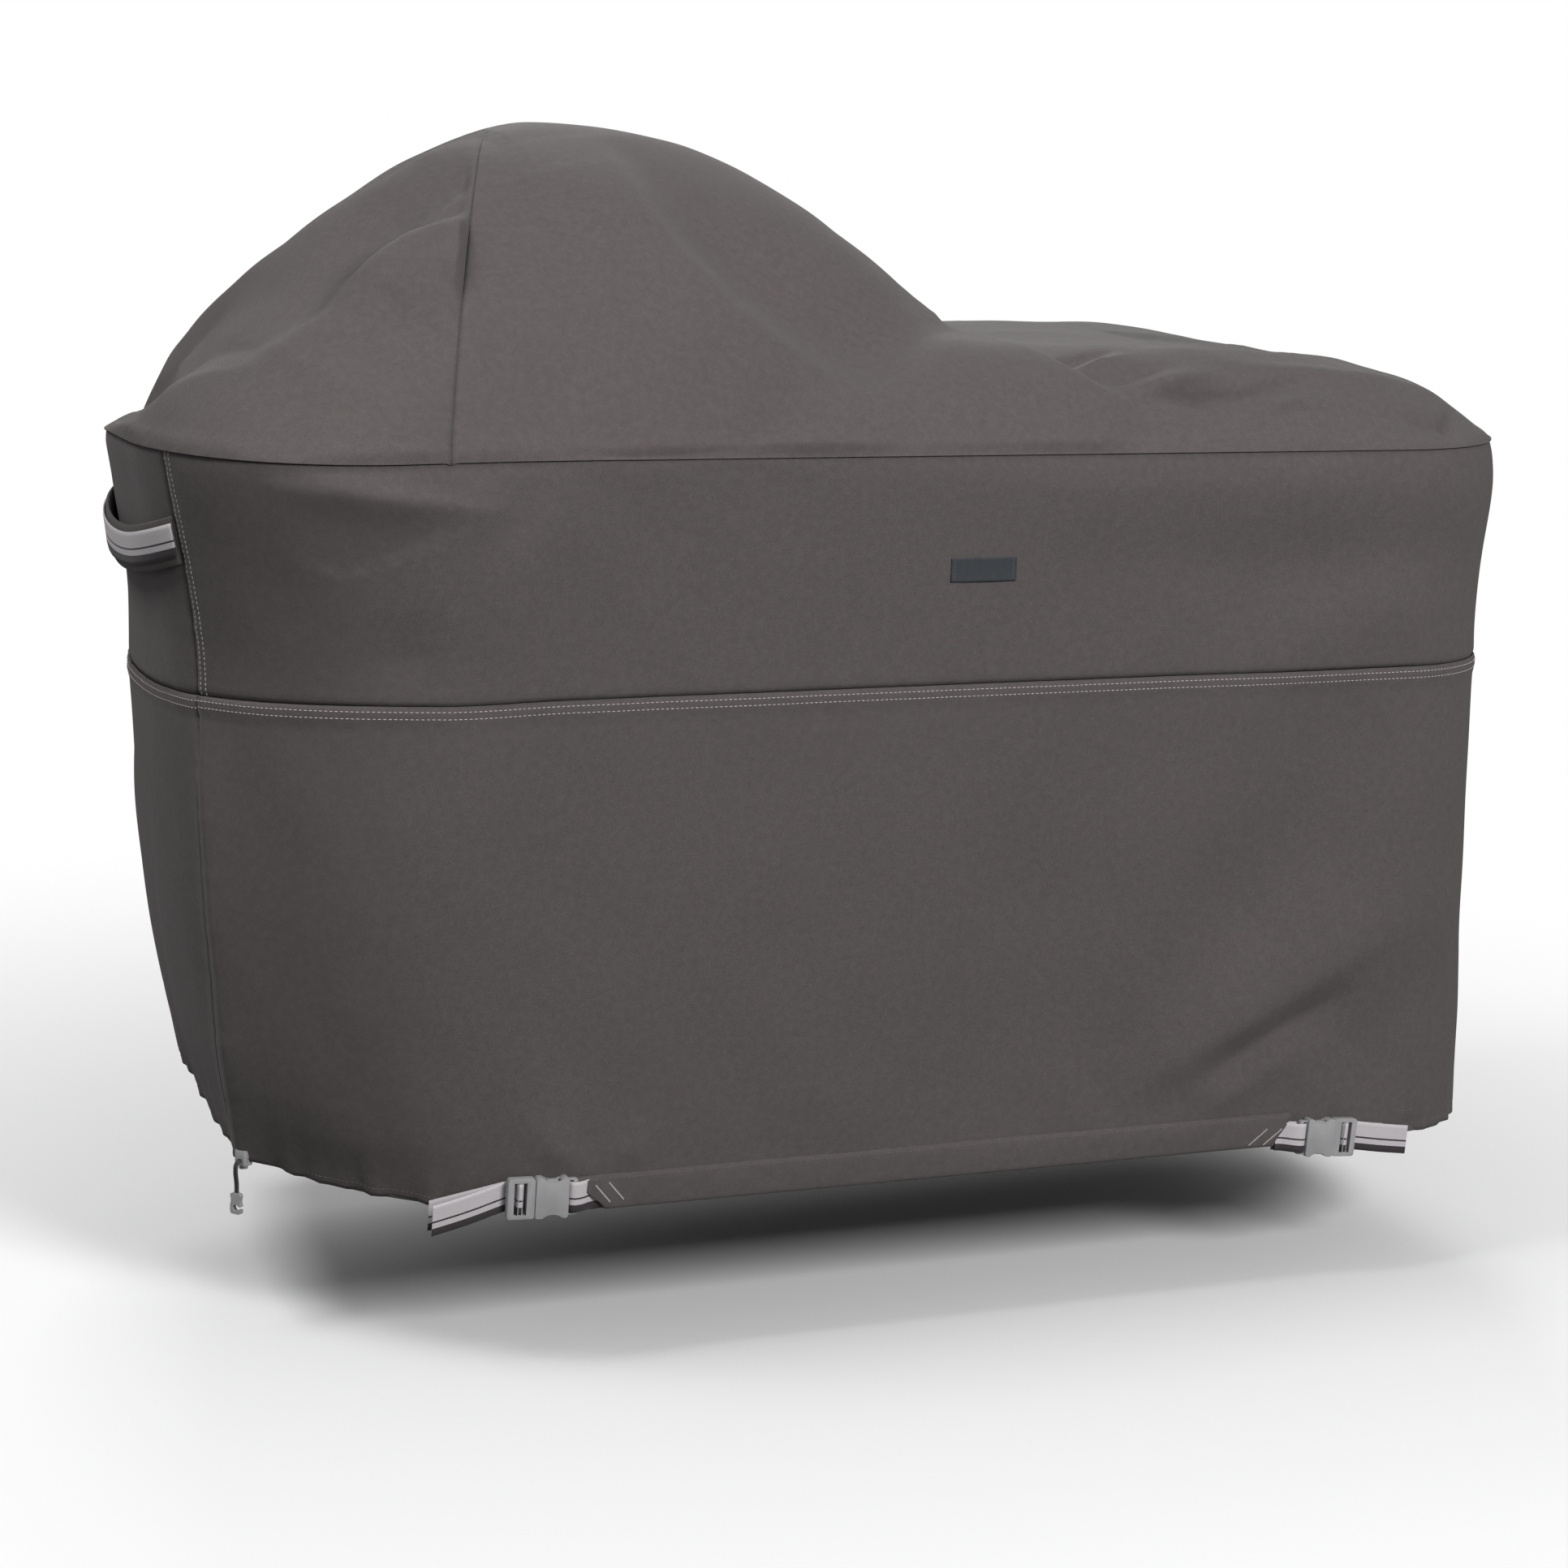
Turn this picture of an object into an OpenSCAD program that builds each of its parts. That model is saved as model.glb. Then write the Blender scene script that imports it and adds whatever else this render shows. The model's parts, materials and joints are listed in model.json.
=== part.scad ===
// Fitted fabric cover for a kettle grill on a cart.
// Millimetres, +Z up, +X along the front towards the table end, +Y to the back.
// The origin is on the inner face of the crown, where the cover sits on the lid.

/* [Cover] */
// Drop from the top of the crown to the rim seam
rim_drop = 311; // [250:1:360]
// Drop from the top of the crown to the middle seam
mid_drop = 545; // [450:1:640]
// Drop from the top of the crown to the bottom of the hem
hem_drop = 1066; // [960:1:1180]
// Depth from the front face to the back face
depth = 750; // [680:1:840]
// Reach of the rim to the left of the crown
left_reach = 418; // [380:1:470]
// Reach of the rim to the right of the crown
right_reach = 1110; // [950:1:1250]
// How far the middle seam is drawn in on the left
mid_draw = 34; // [0:1:50]
// How far the skirt below the rim is drawn in on the right
right_draw = 27; // [0:1:40]
// How far the right end flares out again at the hem
right_flare = 14; // [0:1:30]
// How far the hem is drawn in on the left
hem_draw = 102; // [60:1:180]
// How far the hem is drawn up along the left end
hem_lift = 60; // [0:1:90]
// How far the hem falls towards the table end
hem_fall = 6; // [0:1:20]
// How much shallower the back is behind the dome
back_draw = 50; // [0:1:80]
// Thickness of the coated fabric
cloth_t = 1.6; // [1:0.1:3]

/* [Corners] */
// Radius of the front left corner at the rim
rim_r = 210; // [150:1:260]
// Radius of the front left corner at the middle seam
mid_r = 250; // [180:1:300]
// Radius of the front left corner at the hem
hem_r = 345; // [280:1:360]
// Width along the back of the long back left corner, at the rim
back_left_w = 330; // [220:1:400]
// The same width at the hem
back_left_hem_w = 230; // [180:1:360]
// Radius of the right corners at the rim
right_rim_r = 200; // [120:1:260]
// Radius of the right corners below the rim
right_r = 150; // [100:1:220]

/* [Crown] */
// Offset of the dome's middle from the crossing of the dome seam
dome_x = 45; // [20:1:80]
// Reach of the dome's foot towards the table
dome_right = 540; // [460:1:640]
// Reach of the dome's foot towards the left end
dome_left = 412; // [370:1:450]
// Height of the table area above the rim seam
table_rise = 94; // [50:1:120]
// How far the table area falls towards its end
table_fall = 55; // [0:1:70]
// Width over which the table area rounds down to the rim
table_round = 130; // [90:1:200]
// Height of the drape ridge that runs from the dome over the table
ridge_h = 24; // [0:1:35]

/* [Folds] */
// Depth of the soft upright folds of the lower front
fold_h = 9; // [0:1:16]
// Spacing of those folds
fold_pitch = 310; // [220:1:420]
// Bulge of the upper skirt round the grill's bowl
bowl_bulge = 24; // [0:1:40]
// Height of the ridges below the left upright seams
seam_ridge = 14; // [0:1:24]
// Depth of the hollow in the lower left end
end_hollow = 10; // [0:1:40]

/* [Hem] */
// Height of the hem casing
casing_h = 26; // [20:1:36]
// Depth of the pocket in the casing
casing_d = 4.4; // [4:0.1:7]
// Diameter of the elastic drawcord
cord_d = 2.4; // [2:0.1:3]
// Height of the channel strip along the front hem
channel_h = 38; // [38:1:50]

/* [Straps and buckles] */
// Width of the webbing
web_w = 32; // [25:1:33]
// Thickness of the webbing
web_t = 1.5; // [1:0.1:1.8]
// Width of the buckle
buckle_w = 42; // [41:1:56]
// Thickness of the buckle housing
housing_t = 13; // [12:0.5:16]
// Length of the housing from its mouth to its end wall
housing_l = 34; // [32:1:44]
// Length of the adjuster frame on the other half
frame_l = 28; // [26:1:36]
// Thickness of the adjuster frame
frame_t = 10; // [9:0.5:12]
// Length of the free webbing tail past the adjuster frame
tail_l = 74; // [60:1:140]
// Sag of the right strap
right_sag = 4; // [0:1:12]
// Height of the left buckle's middle above the hem
left_buckle_up = 18; // [0:1:40]
// Height of the right buckle's middle above the hem
right_buckle_up = 12; // [0:1:40]
// Clearance between the parts of a buckle
buckle_gap = 0.4; // [0.3:0.1:0.6]

/* [Handles] */
// Height of the handle pads
pad_h = 46; // [40:1:60]
// Thickness of the handle pads
pad_t = 7; // [6:0.5:16]
// Finger gap behind the middle of a handle
hand_gap = 10; // [8:1:40]
// How far a handle hangs down at its middle
handle_sag = 14; // [0:1:30]
// Drop from the rim seam to the sewn ends of a handle
handle_drop = 84; // [60:1:140]
// Half length of the right handle
right_handle_half = 150; // [110:1:200]

/* [Cord lock] */
// Width of the barrel
lock_w = 15; // [14:0.5:20]
// Height of the barrel
lock_h = 16; // [15:0.5:22]
// Diameter of the plunger with its button
plunger_d = 9; // [8.5:0.1:11]
// Travel of the button
button_travel = 3; // [2:0.1:3.4]
// Radial clearance of the plunger
plunger_gap = 0.3; // [0.2:0.05:0.5]
// Length of the cord end clip
clip_l = 22; // [18:1:30]

/* [Label] */
// Width of the label patch
label_w = 74; // [50:1:100]
// Height of the label patch
label_h = 24; // [16:1:36]
// Middle of the label to the right of the crown
label_x = 410; // [300:1:520]
// Drop from the rim seam to the middle of the label
label_drop = 116; // [80:1:160]

/* [Hidden] */
$fn = 48;

taupe = [0.35, 0.33, 0.33];
pale_web = [0.68, 0.66, 0.67];
grey = [0.6, 0.6, 0.6];
slate = [0.2, 0.22, 0.23];
dark = [0.16, 0.15, 0.16];

// Columns round the cover: corner, side, corner, side, from the left end by the front.
SEGS = [8, 15, 6, 6, 6, 15, 12, 2];
function sum_to(i) = i == 0 ? 0 : SEGS[i - 1] + sum_to(i - 1);
FIRST = [for (i = [0:8]) sum_to(i)];
COLS = FIRST[8];
// Rows down the cover: crown, upper skirt, lower skirt.
CROWN_ROWS = 11;
UPPER_ROWS = 4;
LOWER_ROWS = 8;
RIM = CROWN_ROWS;
MID = RIM + UPPER_ROWS;
HEM = MID + LOWER_ROWS;

// Seam columns: the left upright seams, the right back seam and the dome seam.
SEAM_FL = 2;
SEAM_BR = FIRST[4] + 3;
SEAM_BL = FIRST[6] + 5;
DOME_F = FIRST[1] + 1;
DOME_B = FIRST[6] - 1;

half_d = depth / 2;
back_left_y = half_d - back_draw;
left_flat = 30;
// The spine ends this far from the table end, and the table starts to fall a little before it.
spine_end = right_reach - 355;
fall_from = spine_end - 80;
// The drape ridge: its middle, its direction in plan, and its half length and half width.
RIDGE_AT = [550, -180];
RIDGE_RUN = [0.82, -0.57];
ridge_l = 230;
ridge_w = 55;

// How square the dome's foot is in plan at the front, where the cloth is pulled straight down to
// the rim. The back is an ellipse, which is 2.
front_left_square = 3.4;
front_right_square = 2.5;

// How far the ridge below the left front seam moves round to the front, halfway down.
ridge_turn = 0.3;

// The top of the crown is a little higher than the origin's place on the dome seam.
crown_z = cloth_t + rim_drop - crown_h(0, 0, half_d);
rim_z = crown_z - rim_drop;
mid_z = crown_z - mid_drop;
hem_z = crown_z - hem_drop;

function ramp(a) = let (c = min(1, max(0, a))) c * c * (3 - 2 * c);
function mix(a, b, f) = a + (b - a) * f;
function bump(a) = exp(-a * a);
function part_of(k) = [for (i = [0:7]) if (k >= FIRST[i] && k < FIRST[i + 1]) i][0];

// Corner radius and left and right reach at a depth v, 0 at the rim, 1 at mid, 2 at the hem.
function left_r(v) = min(half_d - 10, v < 1 ? mix(rim_r, mid_r, v) : mix(mid_r, hem_r, v - 1));
function end_r(v) = min(half_d - 10, v < 1 ? mix(right_rim_r, right_r, v) : right_r);
function x_left(v) = -left_reach + (v < 1 ? mid_draw * sin(90 * v)
    : mid_draw + (hem_draw - mid_draw) * pow(v - 1, 2.8));
function x_right(v) = right_reach - right_draw * ramp(v) + right_flare * ramp(v - 1);
function back_w(v) = mix(back_left_w, back_left_hem_w, v / 2);

// A point of the plan outline, before folds, at depth v and column k.
function outline(v, k) =
    let (i = part_of(k), part = (k - FIRST[i]) / SEGS[i], r = left_r(v), q = end_r(v),
         f = i == 0 ? part + ridge_turn * sin(180 * max(0, v - 1)) * part * (1 - part) : part,
         a = x_left(v), b = x_right(v), x0 = a + r, x1 = b - q, c = back_w(v), x2 = a + c,
         y0 = -half_d + r, y1 = y0 + left_flat)
    i == 0 ? [x0 - r * cos(90 * f), y0 - r * sin(90 * f)]
    : i == 1 ? [mix(x0, x1, pow(f, 1.2)), -half_d]
    : i == 2 ? [x1 + q * sin(90 * f), -half_d + q - q * cos(90 * f)]
    : i == 3 ? [b, mix(-half_d + q, half_d - q, f)]
    : i == 4 ? [x1 + q * cos(90 * f), half_d - q + q * sin(90 * f)]
    : i == 5 ? [mix(x2, x1, pow(1 - f, 1.2)), mix(back_left_y, half_d, pow(1 - f, 1.2))]
    : i == 6 ? [x2 - c * sin(90 * f), y1 + (back_left_y - y1) * cos(90 * f)]
    : [a, mix(y1, y0, f)];

// Outward direction in plan.
function outward(v, k) =
    let (d = outline(v, (k + 1) % COLS) - outline(v, (k + COLS - 1) % COLS))
    [d[1], -d[0]] / norm(d);

// Main folds: the bowl's bulge, the upright folds of the front and back, the ridge below
// the left upright seams and the hollow of the lower left end beside it.
function fold(v, k) =
    let (p = outline(v, k), low = max(0, v - 1), side = abs(p[1]) / half_d,
         bowl = bowl_bulge * bump((p[0] + left_reach * 0.7) / 150) * bump((side - 0.95) / 0.4)
             * (1 - ramp(v)),
         waves = fold_h * sin(360 * p[0] / fold_pitch + 60 * low) * low * (1.4 - 1.4 * low)
             * ramp((side - 0.8) / 0.2),
         away = min(abs(k - SEAM_FL), abs(k - SEAM_BL), abs(k - COLS - SEAM_FL)),
         corner = seam_ridge * low * bump(away / 0.9),
         hollow = k < SEAM_FL || k > SEAM_BL ? -end_hollow * ramp(low * 1.3) * (1 - bump(away / 1.6)) : 0)
    bowl + waves + corner + hollow;

// How far the hem is drawn up at column k.
function lift(k) = let (p = outline(2, k))
    hem_lift * bump((p[1] - 60) / 240) * (1 - ramp((p[0] + 200) / 300));

function skirt_z(v, k) = v < 1 ? mix(rim_z, mid_z, v)
    : mix(mid_z, hem_z + lift(k) - hem_fall * outline(2, k)[0] / right_reach, v - 1);
function skirt(v, k) = let (p = outline(v, k) + fold(v, k) * outward(v, k))
    [p[0], p[1], skirt_z(v, k)];

RIM_LINE = [for (k = [0:COLS - 1]) skirt(0, k)];

// Height of the crown above the rim seam at (x, y), where edge is the distance to the rim.
// The dome and the table area meet in a short soft valley.
function dome_h(x, y) =
    let (a = x < dome_x ? dome_left : dome_right,
         b = y < 0 ? half_d : mix(back_left_y, half_d, ramp(x / spine_end)),
         u = (x - dome_x) / a, w = abs(y) / (b - 3),
         n = y >= 0 ? 2 : u < 0 ? front_left_square : front_right_square,
         foot = min(1, pow(pow(abs(u), n) + pow(w, n), 1 / n)),
         lean = foot > 0 ? pow(u / foot, 2) : 0,
         steep = u < 0 ? 2 - 0.5 * lean : 2 + 0.2 * lean,
         full = u < 0 ? 0.9 - 0.1 * lean : 0.9 + 0.2 * lean)
    rim_drop * pow(1 - pow(foot, steep), full);
function table_h(x, edge) =
    let (rise = mix(0.3, 1, ramp((x + 120) / 420)) * table_rise,
         fall = table_fall * pow(max(0, (x - fall_from) / (right_reach - fall_from)), 2))
    (rise - fall) * (1 - pow(1 - min(1, edge / table_round), 2.2));
function ridge(x, y) =
    let (d = [x, y] - RIDGE_AT, along = d * RIDGE_RUN, across = d * [-RIDGE_RUN[1], RIDGE_RUN[0]])
    ridge_h * bump(along / ridge_l) * (bump(across / ridge_w) - 0.7 * bump((across - 130) / 80));
function crown_h(x, y, edge) =
    pow(pow(dome_h(x, y), 9) + pow(table_h(x, edge), 9), 1 / 9) + ridge(x, y) * min(1, edge / 90);

// The crown's columns start from a spine over the middle of the depth, from the dome seam
// to the table end, and run out to the rim. Front and back columns share the spine's points.
function spine_x(k) = let (c = k > FIRST[4] ? max(0, FIRST[6] + FIRST[1] - k) : k)
    min(spine_end, max(0, RIM_LINE[c][0]));
function crown_pt(j, k) =
    let (s = sin(90 * j / CROWN_ROWS), e = RIM_LINE[k], x0 = spine_x(k), n = outward(0, k),
         x = mix(x0, e[0], s), y = e[1] * s,
         edge = (1 - s) * abs((e[0] - x0) * n[0] + e[1] * n[1]))
    [x, y, rim_z + crown_h(x, y, edge)];

function grid_pt(j, k) = j < RIM ? crown_pt(j, k)
    : j == RIM ? RIM_LINE[k]
    : j <= MID ? skirt((j - RIM) / UPPER_ROWS, k)
    : skirt(1 + (j - MID) / LOWER_ROWS, k);

OUTER = [for (j = [0:HEM]) [for (k = [0:COLS - 1]) grid_pt(j, k)]];

function unit(a) = a / norm(a);
function inner_pt(j, k) = j == 0 ? OUTER[0][k] - [0, 0, cloth_t] :
    let (down = OUTER[min(HEM, j + 1)][k] - OUTER[j - 1][k],
         side = OUTER[j][(k + 1) % COLS] - OUTER[j][(k + COLS - 1) % COLS])
    OUTER[j][k] - cloth_t * unit(cross(down, side));
INNER = [for (j = [0:HEM]) [for (k = [0:COLS - 1]) inner_pt(j, k)]];

// One sewn panel: the cloth between two rows and two columns, closed by its cut edges.
module panel(j0, j1, k0, k1) {
    rows = j1 - j0;
    cols = k1 - k0;
    wide = cols + 1;
    back = (rows + 1) * wide;
    points = [for (face = [OUTER, INNER]) for (j = [j0:j1]) for (k = [k0:k1]) face[j][k % COLS]];
    // On the spine, columns that start at one place share a point.
    top = [for (c = [0:cols]) j0 > 0 ? c
        : [for (b = [0:cols]) if (spine_x((k0 + b) % COLS) == spine_x((k0 + c) % COLS)) b][0]];
    function o(r, c) = r == 0 ? top[c] : r * wide + c;
    function i(r, c) = back + o(r, c);
    faces = [
        for (r = [0:rows - 1]) for (c = [0:cols - 1]) each [
            if (o(r, c) != o(r, c + 1)) each [
                [o(r, c), o(r, c + 1), o(r + 1, c + 1)],
                [i(r, c), i(r + 1, c + 1), i(r, c + 1)]],
            [o(r, c), o(r + 1, c + 1), o(r + 1, c)],
            [i(r, c), i(r + 1, c), i(r + 1, c + 1)]],
        for (r = [0:rows - 1]) each [
            [i(r, 0), o(r, 0), o(r + 1, 0)],
            [i(r, 0), o(r + 1, 0), i(r + 1, 0)],
            [o(r, cols), i(r, cols), o(r + 1, cols)],
            [i(r, cols), i(r + 1, cols), o(r + 1, cols)]],
        for (c = [0:cols - 1]) each [
            if (j0 > 0) each [
                [i(0, c), i(0, c + 1), o(0, c + 1)],
                [i(0, c), o(0, c + 1), o(0, c)]],
            [o(rows, c), o(rows, c + 1), i(rows, c)],
            [o(rows, c + 1), i(rows, c + 1), i(rows, c)]]
    ];
    color(taupe) polyhedron(points, faces);
}

module crown_left_panel() panel(0, RIM, DOME_B, COLS + DOME_F);
module crown_main_panel() panel(0, RIM, DOME_F, DOME_B);
module upper_front_panel() panel(RIM, MID, SEAM_FL, SEAM_BR);
module upper_back_panel() panel(RIM, MID, SEAM_BR, SEAM_BL);
module upper_left_panel() panel(RIM, MID, SEAM_BL, COLS + SEAM_FL);
module lower_front_panel() panel(MID, HEM, SEAM_FL, SEAM_BR);
module lower_back_panel() panel(MID, HEM, SEAM_BR, SEAM_BL);
module lower_left_panel() panel(MID, HEM, SEAM_BL, COLS + SEAM_FL);

// Direction into the cover at the hem, level.
function inward(k) = let (n = INNER[HEM][k] - OUTER[HEM][k]) unit([n[0], n[1], 0]);
function casing_pt(k, d, up) =
    let (foot = INNER[HEM][k], head = INNER[HEM - 1][k])
    mix(foot, head, up / (head[2] - foot[2])) + d * inward(k);

// A closed band round the cover, made of rings of points.
module closed_band(rings) {
    n = len(rings);
    m = len(rings[0]);
    points = [for (ring = rings) each ring];
    faces = [for (a = [0:n - 1]) for (b = [0:m - 1])
        let (a2 = (a + 1) % n, b2 = (b + 1) % m)
        each [[a * m + b, a * m + b2, a2 * m + b2], [a * m + b, a2 * m + b2, a2 * m + b]]];
    polyhedron(points, faces);
}

// The turned-up hem: a fold of cloth that leaves a pocket for the drawcord.
facing_t = 1.2;
facing_gap = 0.4;
module hem_facing() color(taupe * 0.9) closed_band([
    for (k = [0:COLS - 1]) [
        casing_pt(k, facing_gap, 0),
        casing_pt(k, casing_d, casing_h / 2),
        casing_pt(k, facing_gap, casing_h),
        casing_pt(k, facing_gap + facing_t, casing_h),
        casing_pt(k, casing_d + facing_t, casing_h / 2),
        casing_pt(k, facing_gap + facing_t, 0)]]);

// The elastic cord inside the casing, all the way round.
module hem_drawcord() color(dark) closed_band([
    for (k = [0:COLS - 1]) [for (a = [0:5])
        casing_pt(k, casing_d / 2 - cord_d / 2 * cos(60 * a), casing_h / 2 + cord_d / 2 * sin(60 * a))]]);

// The woven label, sewn flat on the upper front panel.
label_t = 0.9;
module label_patch() color(slate)
    translate([label_x - label_w / 2, -half_d - label_t, rim_z - label_drop - label_h / 2])
        cube([label_w, label_t, label_h]);

// A swept band: stations along a path, each a closed ring of points, with end caps.
module swept(rings) {
    n = len(rings);
    m = len(rings[0]);
    points = [for (ring = rings) each ring];
    faces = [
        for (a = [0:n - 2]) for (b = [0:m - 1]) let (b2 = (b + 1) % m)
            each [[a * m + b, a * m + b2, (a + 1) * m + b2], [a * m + b, (a + 1) * m + b2, (a + 1) * m + b]],
        for (b = [1:m - 2]) [0, b + 1, b],
        for (b = [1:m - 2]) [(n - 1) * m, (n - 1) * m + b, (n - 1) * m + b + 1]];
    polyhedron(points, faces);
}

// Handles. A point beside the end wall: off is the distance from the cloth, dz the height.
handle_z = rim_z - handle_drop;
function handle_v(dz) = (handle_drop - dz) / (mid_drop - rim_drop);
function left_wall(k, off, dz) = let (v = handle_v(dz), c = k % COLS,
    p = skirt(v, c), n = outward(v, c)) [p[0] + off * n[0], p[1] + off * n[1], handle_z + dz];
function right_wall(y, off, dz) = [x_right(handle_v(dz)) + off, y, handle_z + dz];
sewn_gap = 0.3;
web_gap = 0.15;
strap_gap = 0.7;
function stand_off(t) = sewn_gap + hand_gap * (1 - pow(t, 4));
function droop(t) = handle_sag * (1 - t * t);
PAD_RING = [[0, 0.36], [0, -0.36], [0.3, -0.5], [0.7, -0.5], [1, -0.36], [1, 0.36], [0.7, 0.5], [0.3, 0.5]];
WEB_RING = [[0, 0.5], [0, -0.5], [1, -0.5], [1, 0.5]];
LEFT_FROM = FIRST[6] + 9;
LEFT_RUN = COLS + SEAM_FL - LEFT_FROM;
HANDLE_STEPS = 12;

// A handle band: a ring of points, scaled to its thickness and height, swept along the end wall.
module left_band(ring, base, thick, high) swept([
    for (i = [0:HANDLE_STEPS]) let (f = i / HANDLE_STEPS, t = 2 * f - 1, low = droop(t))
        [for (q = ring) left_wall(LEFT_FROM + f * LEFT_RUN, stand_off(t) + base + q[0] * thick,
            q[1] * high - low)]]);
module right_band(ring, base, thick, high) swept([
    for (i = [0:HANDLE_STEPS]) let (t = 2 * i / HANDLE_STEPS - 1, low = droop(t))
        [for (q = ring) right_wall(t * right_handle_half, stand_off(t) + base + q[0] * thick,
            q[1] * high - low)]]);
module left_handle_pad() color(taupe) left_band(PAD_RING, 0, pad_t, pad_h);
module right_handle_pad() color(taupe) right_band(PAD_RING, 0, pad_t, pad_h);
module left_handle_webbing() color(pale_web) left_band(WEB_RING, pad_t + web_gap, web_t, web_w);
module right_handle_webbing() color(pale_web) right_band(WEB_RING, pad_t + web_gap, web_t, web_w);

// Places on the hem, as columns and fractions. A place has a point, a run, a rise and an outward side.
function facet(place) =
    let (k = floor(place), f = place - k, a = OUTER[HEM][k], b = OUTER[HEM][k + 1],
         m = mix(a, b, f), t = unit(b - a),
         up = mix(OUTER[HEM - 1][k], OUTER[HEM - 1][k + 1], f) - m,
         u = unit(up - t * (up * t)))
    [m, t, u, cross(t, u)];

// Buckle frame: x runs from the housing to the adjuster, y into the cover, z up the webbing.
// The anchor strap is sewn to the hem at x = -sew_x.
LEFT_SEW = 7.8;
LEFT_BACK = 5.3;
RIGHT_SEW = FIRST[1] + 12.8;
RIGHT_BACK = FIRST[1] + 14.7;
sew_x = 76;
sew_l = 28;
stand = housing_t / 2 + 2.6;
module on_hem(k, side, up, sag) {
    f = facet(k);
    x = side * f[1];
    multmatrix([
        [x[0], -f[3][0], f[2][0], f[0][0]],
        [x[1], -f[3][1], f[2][1], f[0][1]],
        [x[2], -f[3][2], f[2][2], f[0][2]],
        [0, 0, 0, 1]])
        translate([0, -stand, up]) rotate([0, sag, 0]) translate([sew_x, 0, 0]) children();
}
module left_set() on_hem(LEFT_SEW, -1, left_buckle_up, 0) children();
module right_set() on_hem(RIGHT_SEW, 1, right_buckle_up, right_sag) children();
// Where the other strap of a set is sewn on, in that frame, and the run of the cloth there.
// The place is taken at the webbing's top edge, because the cloth leans out above the hem.
function back_place(k, side, other, up) =
    let (f = facet(k), g = facet(other),
         d = g[0] + (up + web_w / 2) * g[2] + (strap_gap + web_t / 2) * g[3] - f[0])
    [[side * (d * f[1]) - sew_x, stand - d * f[3]], [g[1] * f[1], -side * (g[1] * f[3])]];
LEFT_END = back_place(LEFT_SEW, -1, LEFT_BACK, left_buckle_up);
RIGHT_END = back_place(RIGHT_SEW, 1, RIGHT_BACK, right_buckle_up);

// A flat rounded shape, w by h, with corner radius r.
module rounded(w, h, r) {
    square([w - 2 * r, h], center = true);
    square([w, h - 2 * r], center = true);
    for (x = [-1, 1], y = [-1, 1]) translate([x * (w / 2 - r), y * (h / 2 - r)]) circle(r);
}
// A shape drawn in x and z, with thickness t along y.
module slab(t) translate([0, t / 2, 0]) rotate([90, 0, 0]) linear_extrude(t) children();

// Webbing along a path in x and y: the path moved to both sides and closed.
function side_of(p, i, d) =
    let (last = len(p) - 1, a = unit(p[max(1, i)] - p[max(1, i) - 1]),
         b = unit(p[min(last, i + 1)] - p[min(last - 1, i)]), m = unit(a + b))
    p[i] + [-m[1], m[0]] * d / max(0.3, m * a);
module ribbon(path) {
    n = len(path);
    outline = [
        for (i = [0:n - 1]) side_of(path, i, web_t / 2),
        for (i = [n - 1:-1:0]) side_of(path, i, -web_t / 2)];
    color(pale_web) translate([0, 0, -web_w / 2]) linear_extrude(web_w) polygon(outline);
}

// Housing of the buckle: a flat socket with two side windows, notched sides and a webbing bar.
wall_t = 2.6;
cavity_t = housing_t - 2 * wall_t;
cavity_w = buckle_w - 8;
cavity_l = housing_l - 3;
window_x0 = -cavity_l + 5;
window_x1 = -10;
bar_t = 6;
slot_l = 4.5;
bar_l = 5;
rail_w = (buckle_w - web_w - 3) / 2;
housing_end = housing_l + slot_l + bar_l;
notch_r = 16;
module housing() color(grey) {
    difference() {
        slab(housing_t) difference() {
            translate([-housing_l / 2, 0]) rounded(housing_l, buckle_w, 3);
            for (z = [-1, 1])
                translate([(window_x0 + window_x1) / 2, z * (buckle_w / 2 + notch_r - 4)]) circle(notch_r);
        }
        translate([-cavity_l, -cavity_t / 2, -cavity_w / 2]) cube([cavity_l + 1, cavity_t, cavity_w]);
        translate([window_x0, -cavity_t / 2, -buckle_w])
            cube([window_x1 - window_x0, cavity_t, 2 * buckle_w]);
    }
    slab(bar_t) difference() {
        translate([-housing_end / 2 - housing_l / 2 + 1, 0])
            rounded(housing_end - housing_l + 2, buckle_w - 4, 2.5);
        translate([-housing_l - slot_l / 2, 0]) square([slot_l, web_w + 3], center = true);
        translate([-housing_l + 2, 0]) square([4, buckle_w], center = true);
    }
}

// Adjuster frame of the other half: a base plate, a middle bar and an end bar, with a guide tongue.
base_l = 9;
slot_a = [9, 13];
slot_b = [18, 22];
prong_z = 11;
hinge_r = 2.6;
hinge_x = 3.5;
prong_t = cavity_t - 2 * buckle_gap;
tongue_w = 8;
module adjuster() color(grey) difference() {
    union() {
        slab(frame_t) translate([buckle_gap + frame_l / 2, 0]) rounded(frame_l, buckle_w, 3);
        slab(prong_t) translate([-cavity_l / 2 + 3, 0]) square([cavity_l, tongue_w], center = true);
    }
    for (s = [slot_a, slot_b])
        translate([s[0], -frame_t, -web_w / 2 - 1]) cube([s[1] - s[0], 2 * frame_t, web_w + 2]);
    for (z = [-1, 1]) translate([hinge_x, 0, z * prong_z]) {
        rotate([90, 0, 0]) cylinder(r = hinge_r + buckle_gap, h = prong_t + 2 * buckle_gap, center = true);
        translate([-10, -prong_t / 2 - buckle_gap, -5]) cube([10, prong_t + 2 * buckle_gap, 10]);
    }
}

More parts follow.
